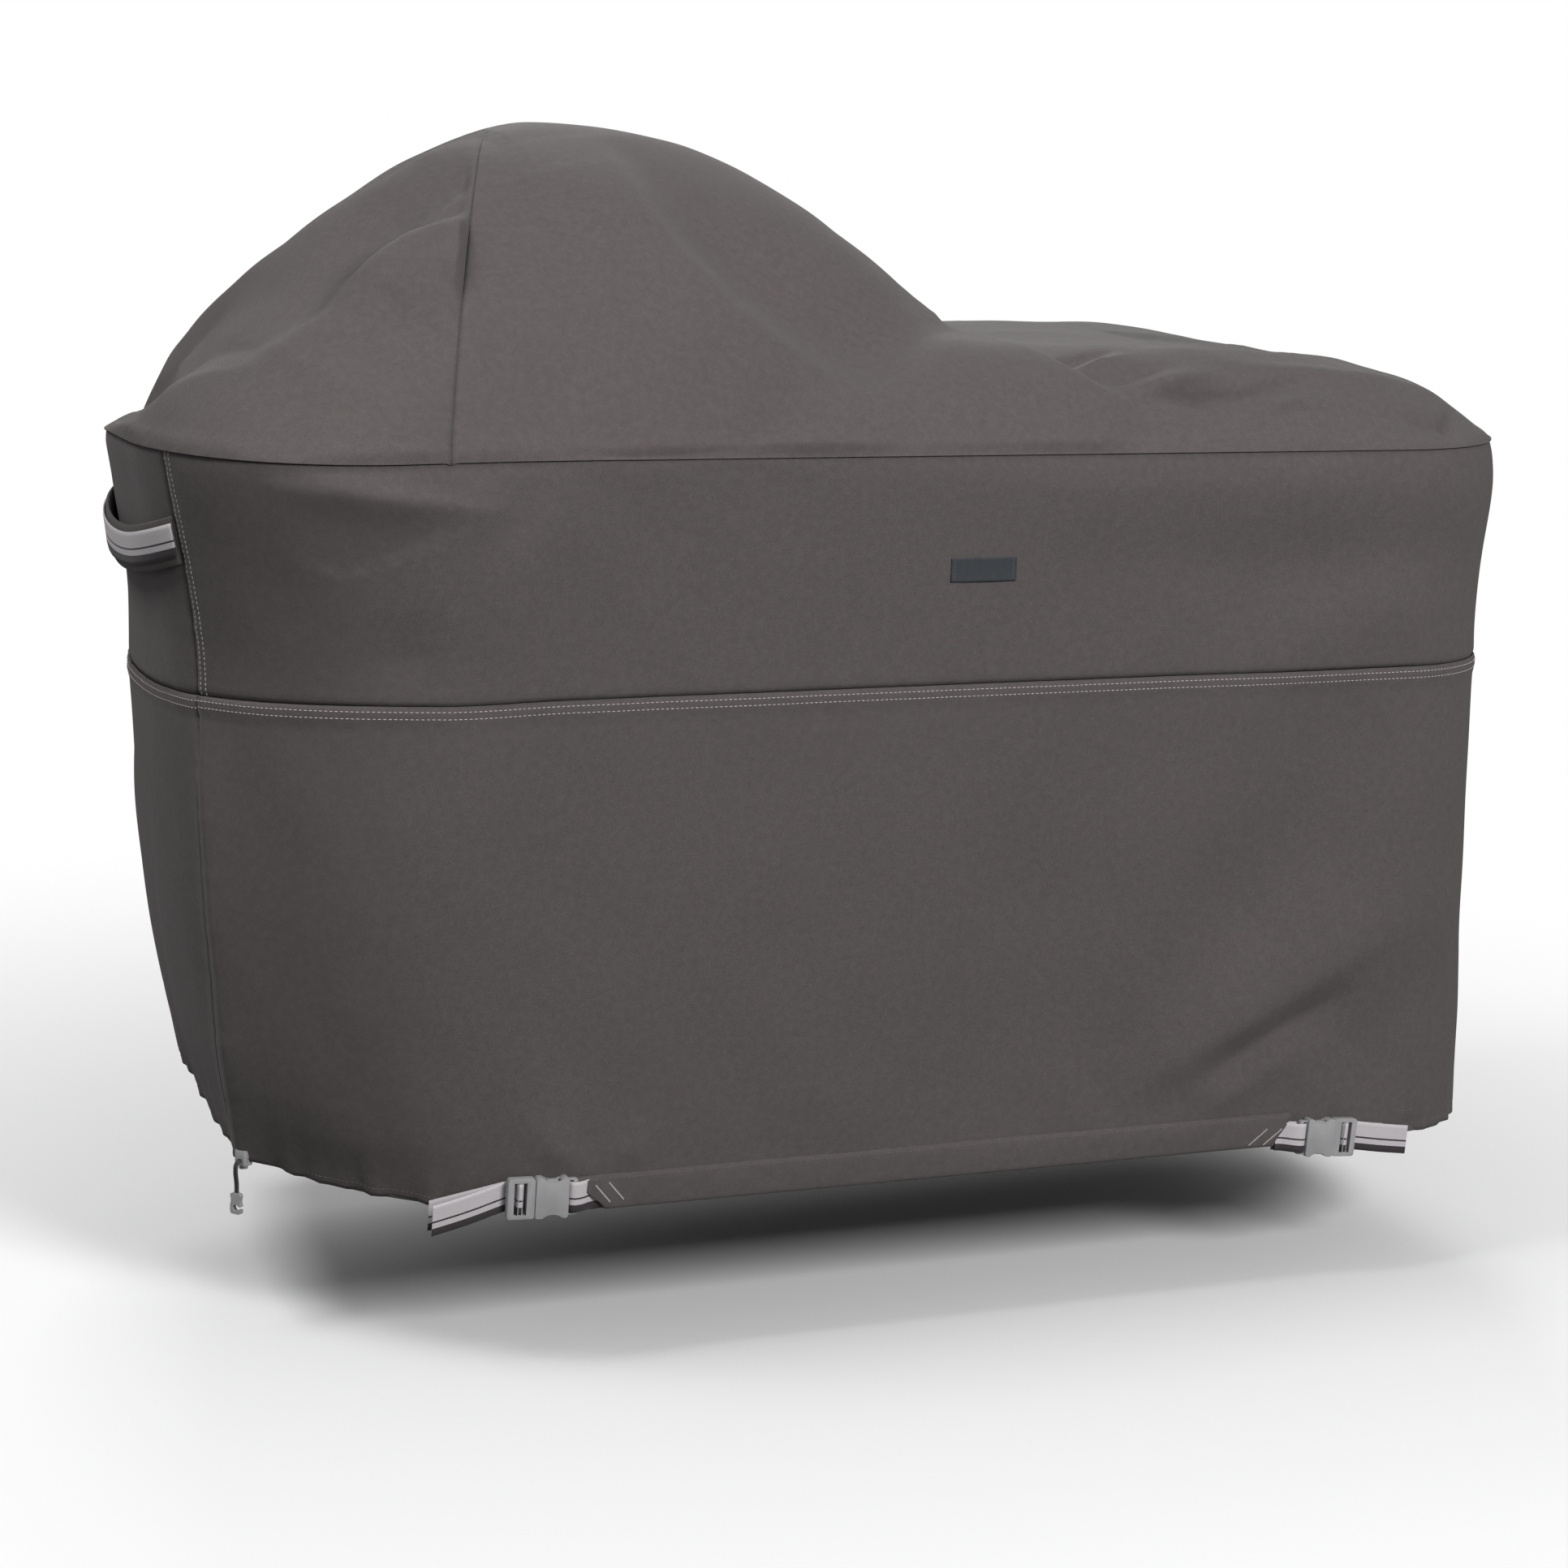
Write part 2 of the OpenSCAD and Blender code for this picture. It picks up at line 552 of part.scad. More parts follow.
// A prong: a springy arm on its root with a catch head that fills the side window.
arm_w = 4;
head_out = buckle_w / 2 - 2.5;
module prong(z) color(grey) mirror([0, 0, z < 0 ? 1 : 0]) {
    translate([hinge_x, 0, prong_z]) rotate([90, 0, 0]) cylinder(r = hinge_r, h = prong_t, center = true);
    slab(prong_t) polygon([
        [hinge_x, prong_z + arm_w / 2], [window_x1 - 0.8, prong_z + arm_w / 2 + 1],
        [window_x1 - 0.8, head_out - 1], [window_x1 - 2, head_out],
        [window_x0 + 5, head_out], [window_x0 + 0.8, cavity_w / 2 - 1.5],
        [window_x0 + 0.8, prong_z - 1], [window_x0 + 5, prong_z - arm_w / 2],
        [hinge_x, prong_z - arm_w / 2]]);
}

// Webbing of the housing: a loop round its bar, sewn to the hem in two layers.
loop_y = bar_t / 2 + web_t / 2 + 0.2;
anchor_y = stand - strap_gap - web_t / 2;
slot_mid = -housing_l - slot_l / 2;
bar_end = -housing_end - web_t / 2 - 1;
ANCHOR = [
    [-sew_x - sew_l / 2, anchor_y], [-sew_x + sew_l / 2, anchor_y], [bar_end, loop_y], [slot_mid, loop_y],
    [slot_mid, -loop_y], [bar_end, -loop_y],
    [-sew_x + sew_l / 2 - 2, anchor_y - web_t - 0.1], [-sew_x - sew_l / 2 + 2, anchor_y - web_t - 0.1]];

// Webbing of the adjuster: from its sewn end, through the slots, out again as the free tail.
tail_y = frame_t / 2 + web_t / 2 + 0.2;
run_y = tail_y + web_t + 0.3;
mid_a = (slot_a[0] + slot_a[1]) / 2;
mid_b = (slot_b[0] + slot_b[1]) / 2;
end_sew = 16;
function tail_path(end) = [
    end[0] + end_sew / 2 * end[1], end[0] - end_sew / 2 * end[1], [mid_b + 8, run_y],
    [mid_a, run_y], [mid_a, -tail_y], [mid_b, -tail_y], [mid_b, tail_y],
    [frame_l + 4, tail_y], [frame_l + tail_l / 2, tail_y - 4], [frame_l + tail_l, tail_y - 2]];

// The channel strip along the front hem, cut slanting at both ends, over the sewn ends of the
// anchor straps. It is sewn to the panel along its top edge.
channel_t = 1.2;
channel_in = strap_gap + 2 * web_t + 0.6;
channel_head = 0.5;
// Each station has a place for its top edge, one for its bottom edge, and how much further it
// stands off, beside the left strap, where the cloth of the corner leans.
CHANNEL = [[LEFT_SEW - 0.13, LEFT_SEW + 0.15, 0.6], [FIRST[1], FIRST[1], 2.2],
    for (k = [FIRST[1] + 1:FIRST[1] + 12]) [k, k, 0],
    [RIGHT_SEW + 0.12, RIGHT_SEW - 0.12, 0.3]];
function channel_pt(place, d, up) = let (f = facet(place)) f[0] + d * f[3] + up * f[2];
module front_channel() color(taupe) swept([
    for (c = CHANNEL) let (off = channel_in + c[2]) [
        channel_pt(c[0], off + channel_t, channel_h - 2),
        channel_pt(c[0], channel_head + channel_t, channel_h),
        channel_pt(c[0], channel_head, channel_h),
        channel_pt(c[0], off, channel_h - 2),
        channel_pt(c[1], off, 0),
        channel_pt(c[1], off + channel_t, 0)]]);

module left_anchor_strap() left_set() ribbon(ANCHOR);
module left_tail_strap() left_set() ribbon(tail_path(LEFT_END));
module left_buckle_housing() left_set() housing();
module left_buckle_frame() left_set() adjuster();
module left_upper_prong() left_set() prong(1);
module left_lower_prong() left_set() prong(-1);
module right_anchor_strap() right_set() ribbon(ANCHOR);
module right_tail_strap() right_set() ribbon(tail_path(RIGHT_END));
module right_buckle_housing() right_set() housing();
module right_buckle_frame() right_set() adjuster();
module right_upper_prong() right_set() prong(1);
module right_lower_prong() right_set() prong(-1);

// Cord lock, in its own frame on the left hem corner: y into the cover, z up, cords along y at z = 0.
LOCK = facet(SEAM_FL + 0.15);
lock_turn = atan2(LOCK[1][1], LOCK[1][0]);
lock_depth = 13;
lock_back = 3.6;
cord_low = cord_d / 2 + 0.3;
lock_below = 5.5;
module at_lock() translate([LOCK[0][0], LOCK[0][1], LOCK[0][2] - cord_low])
    rotate([0, 0, lock_turn]) children();
lock_y = -lock_back - lock_depth / 2;
pair_x = cord_d / 2 + 0.3;
cord_way = 4 * pair_x;
spring_h = 5;
slot_top = cord_d / 2 + 0.2;
plunger_top = slot_top + 1.6;
bore_top = plunger_top + spring_h + 0.2;
module cord_lock_barrel() at_lock() color(grey) translate([0, lock_y, 0]) difference() {
    translate([0, 0, -lock_below]) linear_extrude(lock_h) rounded(lock_w, lock_depth, 3);
    translate([0, 0, -lock_below - 1])
        cylinder(d = plunger_d + 2 * plunger_gap, h = lock_below + 1 + bore_top);
    cube([cord_way, 2 * lock_depth, cord_d + 0.8], center = true);
    for (x = [-1, 1]) translate([x * (lock_w / 2 + 10), 0, 0]) cylinder(r = 11, h = 6, center = true);
}
button_out = button_travel + 1;
module cord_lock_button() at_lock() color(grey * 0.9) translate([0, lock_y, 0]) difference() {
    translate([0, 0, -lock_below - button_out])
        cylinder(d = plunger_d, h = lock_below + button_out + plunger_top);
    translate([-cord_way / 2, -plunger_d, slot_top - cord_d - 0.5 - button_travel])
        cube([cord_way, 2 * plunger_d, cord_d + 0.5 + button_travel]);
}
spring_wire = 0.6;
spring_turns = 3.5;
spring_r = plunger_d / 2 - spring_wire / 2 - 0.5;
SPRING_RINGS = ceil(spring_turns * 8);
module cord_lock_spring() at_lock() color("silver") translate([0, lock_y, plunger_top + 0.1]) swept([
    for (i = [0:SPRING_RINGS]) let (a = 360 * spring_turns * i / SPRING_RINGS,
        z = spring_wire / 2 + (spring_h - spring_wire) * i / SPRING_RINGS)
        [for (b = [0:5]) let (r = spring_r + spring_wire / 2 * cos(60 * b))
            [r * cos(a), r * sin(a), z + spring_wire / 2 * sin(60 * b)]]]);

// The two free tails of the drawcord, from under the hem through the lock and down to the clip.
// Route in y and z of the lock's frame, shared by both tails.
TAIL_ROUTE = [[4, 0], [0, 0], [-4, 0], [-8, 0], [-12, 0], [-17, 0], [-20, -1], [-22, -3], [-23, -6],
    [-23, -9], [-23, -12], [-22.4, -16], [-21.6, -20], [-21, -25], [-21, -29], [-21, -33]];
tail_last = len(TAIL_ROUTE) - 1;
TAIL_END = TAIL_ROUTE[tail_last];
module tail(side) at_lock() color(dark) swept([
    for (i = [0:tail_last])
        let (p = TAIL_ROUTE[i], a = TAIL_ROUTE[max(0, i - 1)], b = TAIL_ROUTE[min(tail_last, i + 1)],
             d = unit(b - a), n = [-d[1], d[0]])
        [for (s = [0:7]) let (u = cord_d / 2 * cos(45 * s), w = cord_d / 2 * sin(45 * s))
            [side * pair_x + u, p[0] + w * n[0], p[1] + w * n[1]]]]);
module cord_tail_a() tail(-1);
module cord_tail_b() tail(1);

// The clip that ends both tails: a flat tapered body with an open hook.
clip_w = 13;
clip_t = 5;
hook_r = 3.4;
waist_r = 10;
module clip_shape() difference() {
    translate([0, -clip_l / 2]) rounded(clip_w, clip_l, 3);
    translate([0.5, -clip_l + 2 * hook_r]) circle(hook_r);
    translate([0.5, -clip_l + 5]) square([clip_w, 3.2]);
    for (x = [-1, 1]) translate([x * (clip_w / 2 + waist_r - 1), -clip_l / 2 + 3]) circle(waist_r);
}
module cord_end_clip() at_lock() color(grey)
    translate([0, TAIL_END[0], TAIL_END[1]]) slab(clip_t) clip_shape();

crown_left_panel();
crown_main_panel();
upper_front_panel();
upper_left_panel();
upper_back_panel();
lower_front_panel();
lower_left_panel();
lower_back_panel();
hem_facing();
hem_drawcord();
front_channel();
label_patch();
left_handle_pad();
left_handle_webbing();
right_handle_pad();
right_handle_webbing();
left_anchor_strap();
left_tail_strap();
left_buckle_housing();
left_buckle_frame();
left_upper_prong();
left_lower_prong();
right_anchor_strap();
right_tail_strap();
right_buckle_housing();
right_buckle_frame();
right_upper_prong();
right_lower_prong();
cord_lock_barrel();
cord_lock_button();
cord_lock_spring();
cord_tail_a();
cord_tail_b();
cord_end_clip();
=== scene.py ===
import json
import math

import bpy
import numpy as np
from mathutils import Matrix, Vector


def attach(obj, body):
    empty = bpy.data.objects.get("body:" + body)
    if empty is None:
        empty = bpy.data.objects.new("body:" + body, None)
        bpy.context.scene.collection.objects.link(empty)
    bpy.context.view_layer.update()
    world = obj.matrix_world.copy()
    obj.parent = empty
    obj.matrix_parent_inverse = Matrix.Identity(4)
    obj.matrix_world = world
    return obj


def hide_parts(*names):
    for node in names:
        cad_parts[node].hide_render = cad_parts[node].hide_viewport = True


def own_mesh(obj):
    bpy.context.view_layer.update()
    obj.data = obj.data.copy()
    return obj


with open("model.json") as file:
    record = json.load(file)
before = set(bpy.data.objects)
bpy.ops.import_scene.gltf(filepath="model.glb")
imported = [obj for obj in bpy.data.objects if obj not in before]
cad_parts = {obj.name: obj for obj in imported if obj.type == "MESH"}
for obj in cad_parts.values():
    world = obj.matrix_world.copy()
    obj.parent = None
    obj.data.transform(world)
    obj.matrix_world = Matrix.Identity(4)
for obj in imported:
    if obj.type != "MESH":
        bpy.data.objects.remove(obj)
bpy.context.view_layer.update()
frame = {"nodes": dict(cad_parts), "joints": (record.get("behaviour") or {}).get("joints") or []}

# Camera.
# A long lens, from the front, a little from the left and from above, tilted a touch. Its place is
# in metres.
turn, dip, tilt = math.radians(24.1106), math.radians(11.1730), math.radians(2.0051)
camera_place = (-1.2911, -3.6988, 0.0907)
sensor_width, focal_pixels, picture_pixels = 36, 4555.386, 1932
look = Vector((math.sin(turn) * math.cos(dip), math.cos(turn) * math.cos(dip), -math.sin(dip)))
level = Vector((math.cos(turn), -math.sin(turn), 0))
rise = level.cross(look)
across = level * math.cos(tilt) + rise * math.sin(tilt)
upward = rise * math.cos(tilt) - level * math.sin(tilt)
camera = bpy.data.objects.new("camera", bpy.data.cameras.new("camera"))
camera.data.sensor_width = sensor_width
camera.data.lens = sensor_width * focal_pixels / picture_pixels
camera.data.clip_end = 60
camera.matrix_world = Matrix.Translation(camera_place) @ Matrix(
    (across, upward, -look)).transposed().to_4x4()
bpy.context.collection.objects.link(camera)
bpy.context.scene.camera = camera
bpy.context.scene.view_settings.view_transform = "Standard"

# Drawcord tails.
# The two ends of the braided elastic hem cord. They come out under the front left corner, run
# through the cord lock and hang side by side to the clip that ends them.
cord_width, tails_apart = 0.0024, 0.0030
lock_at = Vector((-0.296458, -0.175866, -1.0314))
lock_in = Vector((0.80685, 0.59078, 0))
lock_side = Vector((0.59101, -0.80672, 0))
cord_route = [(4, 0), (0, 0), (-4, 0), (-8, 0), (-12, 0), (-17, 0), (-20, -1), (-22, -3),
              (-23, -6), (-23, -9), (-23, -12), (-22.4, -16), (-21.6, -20), (-21, -25),
              (-21, -29), (-21, -33)]


def new_material(name, roughness, sheen=0.0):
    """A material with a low shine, with its node tree and its shader."""
    material = bpy.data.materials.new(name)
    material.use_nodes = True
    shader = material.node_tree.nodes["Principled BSDF"]
    shader.inputs["Roughness"].default_value = roughness
    shader.inputs["Sheen Weight"].default_value = sheen
    shader.inputs["Specular IOR Level"].default_value = 0.25
    return material, material.node_tree, shader


def node_of(tree, kind, values=None, **settings):
    """A new shader node, with its settings and the values of its inputs."""
    made = tree.nodes.new(kind)
    for key, value in settings.items():
        setattr(made, key, value)
    for key, value in (values or {}).items():
        made.inputs[key].default_value = value
    return made


def wire(tree, *links):
    """Joins shader nodes: each link is a node, its output, the next node and its input."""
    for giver, output, taker, socket in links:
        tree.links.new(giver.outputs[output], taker.inputs[socket])


cord_braid, tree, shader = new_material("cord braid", 0.8, 0.1)
where = node_of(tree, "ShaderNodeTexCoord")
plait = node_of(tree, "ShaderNodeTexWave", {"Scale": 420.0, "Distortion": 1.5, "Detail": 1.0},
                bands_direction="DIAGONAL")
tint = node_of(tree, "ShaderNodeValToRGB")
tint.color_ramp.elements[0].color = (0.030, 0.026, 0.027, 1)
tint.color_ramp.elements[1].color = (0.075, 0.068, 0.068, 1)
lumps = node_of(tree, "ShaderNodeBump", {"Strength": 0.5, "Distance": 0.0003})
wire(tree,
     (where, "Object", plait, "Vector"),
     (plait, "Fac", tint, "Fac"),
     (tint, "Color", shader, "Base Color"),
     (plait, "Fac", lumps, "Height"),
     (lumps, "Normal", shader, "Normal"))


def dress(node, material):
    """Gives a CAD node that stays in view its finished material."""
    shape = frame["nodes"][node].data
    shape.materials.clear()
    shape.materials.append(material)


dress("hem_drawcord", cord_braid)
for beside, node in ((-tails_apart / 2, "cord_tail_a"), (tails_apart / 2, "cord_tail_b")):
    curve = bpy.data.curves.new(node + "_braid", "CURVE")
    curve.dimensions = "3D"
    curve.bevel_depth = cord_width / 2
    curve.bevel_resolution = 3
    curve.resolution_u = 6
    run = curve.splines.new("NURBS")
    run.points.add(len(cord_route) - 1)
    run.use_endpoint_u = True
    run.order_u = 3
    points = [lock_at + lock_in * y / 1000 + lock_side * beside + Vector((0, 0, z / 1000))
              for y, z in cord_route]
    for point, place in zip(run.points, points):
        point.co = (*place, 1)
    tail = bpy.data.objects.new(node + "_braid", curve)
    bpy.context.collection.objects.link(tail)
    tail.data.materials.append(cord_braid)
    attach(tail, "cover")
    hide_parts(node)

# Crown.
# Two panels of coated polyester twill, sewn together along the dome seam: a dome on the left, a low
# flat top on the right, and the folds of the drape. All the cover's cloth is shaped and woven here.
half_depth, cloth_thick = 375.0, 1.2e-3
rim_z, middle_z, hem_z, left_dip = -300.386, -534.386, -1055.386, 11
# The plan at the rim, the middle seam and the hem: its two ends and the radii of its corners.
left_end, right_end = (-418, -384, -316), (1110, 1083, 1097)
front_left_r, right_r, back_left_r = (210, 250, 345), (200, 150, 150), (330, 280, 230)
back_left_in, left_wall = 50, 30
# The pattern columns where the plan's eight stretches start. A front column and its twin at the
# back add up to twin_columns.
columns = np.array([0, 8, 23, 29, 35, 41, 56, 68, 70], float)
twin_columns = 64
dome_x, dome_high, low_top_high, spine_end = 45, 311, 94, 755


def ramp(a):
    """Rises smoothly from 0 to 1 as a does."""
    c = np.clip(a, 0, 1)
    return c * c * (3 - 2 * c)


def bump(a):
    """A soft hump, 1 high at 0."""
    return np.exp(-a * a)


def mix(a, b, f):
    return a + (b - a) * f


def at_depth(sizes, v):
    """A size of the plan, from its values at the rim, the middle seam and the hem."""
    return np.where(v < 1, mix(sizes[0], sizes[1], v), mix(sizes[1], sizes[2], v - 1))


def column_of(t):
    return np.interp(t % 8, range(9), columns)


def place_of(column):
    return np.interp(column, columns, range(9))


def outline(v, t):
    """Plan of the cover at depth v (0 rim, 1 middle seam, 2 hem) and place t, in stretches from the left."""
    v, t = np.broadcast_arrays(np.asarray(v, float), np.asarray(t, float) % 8)
    upper, lower = np.clip(v, 0, 1), np.clip(v - 1, 0, 1)
    front, side, back = at_depth(front_left_r, v), at_depth(right_r, v), at_depth(back_left_r, v)
    left = np.where(v < 1, mix(left_end[0], left_end[1], np.sin(np.pi / 2 * upper)),
                    mix(left_end[1], left_end[2], lower ** 2.8))
    right = mix(right_end[0], right_end[1], ramp(v)) + (right_end[2] - right_end[1]) * ramp(v - 1)
    x0, x1, x2 = left + front, right - side, left + back
    y0, y1, far = front - half_depth, front - half_depth + left_wall, half_depth - back_left_in
    f = t - np.floor(t)
    f = np.where(t < 1, f + 0.3 * np.sin(np.pi * lower) * f * (1 - f), f)
    sine, cosine = np.sin(np.pi / 2 * f), np.cos(np.pi / 2 * f)
    stretch = [t < 1, t < 2, t < 3, t < 4, t < 5, t < 6, t < 7]
    x = np.select(stretch, [x0 - front * cosine, mix(x0, x1, f ** 1.2), x1 + side * sine, right,
                            x1 + side * cosine, mix(x2, x1, (1 - f) ** 1.2), x2 - back * sine], left)
    y = np.select(stretch, [y0 - front * sine, 0 * f - half_depth, side - half_depth - side * cosine,
                            mix(side - half_depth, half_depth - side, f), half_depth - side + side * sine,
                            mix(far, half_depth, (1 - f) ** 1.2), y1 + (far - y1) * cosine], mix(y1, y0, f))
    return x, y


def outward(v, t):
    """The level direction straight out of the plan."""
    ax, ay = outline(v, t + 0.02)
    bx, by = outline(v, t - 0.02)
    size = np.hypot(ax - bx, ay - by)
    return (ay - by) / size, (bx - ax) / size


def skirt(v, t):
    """The skirt with its main folds, in millimetres."""
    x, y = outline(v, t)
    k = column_of(t)
    low, side = np.clip(v - 1, 0, 1), np.abs(y) / half_depth
    bowl = 24 * bump((x + 292.6) / 150) * bump((side - 0.95) / 0.4) * (1 - ramp(v))
    waves = 9 * np.sin(2 * np.pi * x / 310 + np.pi / 3 * low) * low * (1.4 - 1.4 * low)
    waves = waves * ramp((side - 0.8) / 0.2)
    away = np.minimum(np.minimum(abs(k - 2), abs(k - 61)), abs(k - 72))
    corner = 14 * low * bump(away / 0.9)
    hollow = np.where((k < 2) | (k > 61), -10 * ramp(low * 1.3) * (1 - bump(away / 1.6)), 0)
    nx, ny = outward(v, t)
    off = bowl + waves + corner + hollow
    hem_x, hem_y = outline(2, t)
    lifted = 60 * bump((hem_y - 60) / 240) * (1 - ramp((hem_x + 200) / 300))
    bottom = hem_z + lifted - 6 * hem_x / right_end[0]
    middle = middle_z - left_dip * np.where(t % 8 < 4, 1 - ramp(t % 8 / 0.9), ramp((t % 8 - 6.2) / 0.8))
    top = rim_z - left_dip * ramp((y + 120) / 240) * (1 - ramp((x + 345) / 200))
    z = np.where(v < 1, mix(top, middle, v), mix(middle, bottom, v - 1))
    return np.stack([x + off * nx, y + off * ny, z], -1)


def crown(s, t):
    """The crown, from the spine over the middle of the depth, s = 0, to the rim, s = 1."""
    rim = skirt(0 * t, t)
    k = column_of(t)
    twin = place_of(np.where(k > columns[4], np.maximum(0, twin_columns - k), k))
    start = np.clip(skirt(0 * t, twin)[..., 0], 0, spine_end)
    nx, ny = outward(0 * t, t)
    x, y = mix(start, rim[..., 0], s), rim[..., 1] * s
    edge = (1 - s) * np.abs((rim[..., 0] - start) * nx + rim[..., 1] * ny)
    u = (x - dome_x) / np.where(x < dome_x, mix(412, 400, ramp(y / 60)), 516)
    back = np.where(y < 0, half_depth, mix(half_depth - back_left_in, half_depth, ramp(x / spine_end)))
    square = np.where(y >= 0, 2.0, np.where(u < 0, 3.4, 2.5))
    foot = np.minimum(1, (np.abs(u) ** square + np.abs(y / (back - 3)) ** square) ** (1 / square))
    foot = mix(foot, np.clip(s, 0, 1), 0.85 * ramp(-y / 220) * ramp((80 - x) / 180))
    lean = (u / np.maximum(foot, 1e-9)) ** 2
    steep = np.where(u < 0, 2 - 0.5 * lean, 2 + 0.5 * lean)
    full = np.where(u < 0, 0.9 - 0.1 * lean, 0.9 + 0.2 * lean)
    dome = dome_high * (1 - foot ** steep) ** full
    fall = 55 * np.maximum(0, (x - 675) / 435) ** 2
    low_top = mix(0.16, 1, ramp((x + 120) / 420)) * low_top_high - fall
    low_top = low_top * (1 - (1 - np.clip(edge / 130, 0, 1)) ** 2.2)
    along, over = (x - 550) * 0.82 - (y + 180) * 0.57, (x - 550) * 0.57 + (y + 180) * 0.82
    drape = 6 * bump(along / 230) * (bump(over / 55) - 0.7 * bump((over - 130) / 80))
    drape = drape * np.clip(edge / 90, 0, 1)
    settle = (rim_z - rim[..., 2]) * ramp((1 - s) / 0.3)
    return np.stack([x, y, rim[..., 2] + (dome ** 9 + low_top ** 9) ** (1 / 9) + drape + settle], -1)


# Each fold: its width on the left and on the right of its run, its sharpness (2 soft, 1 creased),
# and its run as points with the height there, in millimetres.
left_dome_folds = [
    (75, 14, 1.8, [(-84, -208, -92, 16), (-123, -213, -108, 18), (-155, -210, -120, 16),
        (-187, -209, -139, 12), (-210, -212, -156, 7), (-235, -228, -180, 0)]),
    (45, 10, 1.7, [(-84, -234, -112, 11), (-112, -243, -127, 9), (-138, -252, -142, 0)]),
    (34, 10, 1.7, [(-80, -150, -56, 0), (-84, -172, -70, 10), (-110, -180, -82, 7),
        (-140, -180, -98, 0)]),
    (28, 66, 2, [(-84, -186, -72, -16), (-143, -176, -95, -26), (-206, -197, -145, -26),
        (-253, -209, -186, -21), (-291, -210, -223, -15), (-312, -230, -252, 0)]),
    (45, 40, 2, [(-120, -262, -150, 0), (-170, -276, -185, -12), (-225, -285, -225, -12),
        (-250, -296, -250, 0)])]
crown_folds = [
    (60, 35, 1.7, [(-25, -58, -9, 0), (-80, -62, -33, 10), (-193, -61, -106, 15),
        (-270, -20, -175, 12), (-325, 25, -236, 4)]),
    (14, 22, 1.5, [(-387, -77, -289, 0), (-350, -20, -254, 8), (-310, 20, -221, 0)]),
    (12, 18, 1.5, [(-370, -193, -282, 0), (-330, -90, -248, 7), (-305, -55, -215, 0)]),
    (36, 130, 1.8, [(62, -70, -5, 0), (81, -145, -22, 10), (93, -221, -72, 18), (118, -268, -116, 20),
        (148, -298, -156, 20), (179, -311, -183, 18), (237, -315, -223, 14), (285, -325, -244, 9),
        (340, -340, -262, 0)]),
    (90, 45, 2, [(110, -70, -10, 0), (138, -141, -29, -8), (165, -223, -92, -16),
        (206, -253, -138, -21), (258, -272, -182, -20), (306, -290, -214, -15), (350, -322, -236, 0)]),
    (60, 60, 2, [(250, -90, -40, 0), (330, -170, -115, 6), (390, -240, -190, 8),
        (450, -310, -235, 0)]),
    (16, 115, 1.8, [(370, -80, -100, 0), (415, -130, -145, 9), (453, -150, -172, 16),
        (476, -195, -190, 13), (497, -235, -202, 11), (513, -285, -214, 10), (541, -315, -231, 9),
        (570, -333, -247, 6), (601, -344, -259, 0)]),
    (46, 22, 1.9, [(486, -130, -190, 0), (505, -160, -195, -7), (530, -225, -204, -12),
        (550, -276, -212, -11), (578, -312, -230, -8), (610, -335, -250, 0)]),
    (10, 22, 1.6, [(515, -240, -204, 0), (548, -258, -205, -12), (590, -262, -203, -8),
        (625, -250, -203, 0)]),
    (22, 9, 1.6, [(540, -288, -213, 0), (585, -283, -210, 12), (630, -268, -206, 0)]),
    (9, 17, 1.6, [(550, -303, -222, 0), (602, -308, -224, -12), (665, -302, -217, 0)]),
    (18, 9, 1.6, [(575, -326, -238, 0), (650, -320, -234, 12), (725, -308, -228, 0)]),
    (9, 16, 1.6, [(595, -336, -249, 0), (666, -335, -247, -11), (743, -333, -245, -12),
        (800, -315, -234, -6), (850, -296, -230, 0)]),
    (16, 9, 1.6, [(690, -342, -256, 0), (760, -341, -254, 10), (857, -331, -251, 0)]),
    (12, 16, 1.6, [(880, -344, -267, 0), (948, -348, -278, -8), (1003, -336, -287, 0)]),
    (12, 26, 1.5, [(590, -235, -204, 0), (700, -190, -206, 5), (846, -110, -214, 5),
        (960, -20, -233, 0)]),
    (12, 26, 1.5, [(650, -262, -206, 0), (780, -250, -213, 6), (902, -215, -222, 6),
        (1020, -150, -250, 0)]),
    (14, 20, 1.6, [(700, -290, -221, 0), (830, -296, -228, 6), (960, -290, -246, 4),
        (1030, -260, -265, 0)]),
    (80, 70, 2, [(720, 60, -204, 0), (850, 140, -208, 6), (940, 190, -222, 0)]),
    (70, 70, 2, [(930, 100, -226, 0), (1010, 150, -246, -8), (1060, 190, -266, 0)]),
    (8, 10, 1.3, [(975, -345, -285, -6), (1000, -318, -273, -4), (1010, -290, -262, 0)]),
    (50, 50, 2, [(520, 190, -205, 0), (640, 245, -208, -9), (740, 245, -209, -7),
        (850, 250, -216, 0)]),
    (40, 30, 2, [(-20, 120, -30, 0), (-80, 200, -110, 8), (-120, 270, -200, 0)]),
    (50, 40, 2, [(180, 100, -30, 0), (260, 200, -110, 8), (330, 290, -200, 0)])]
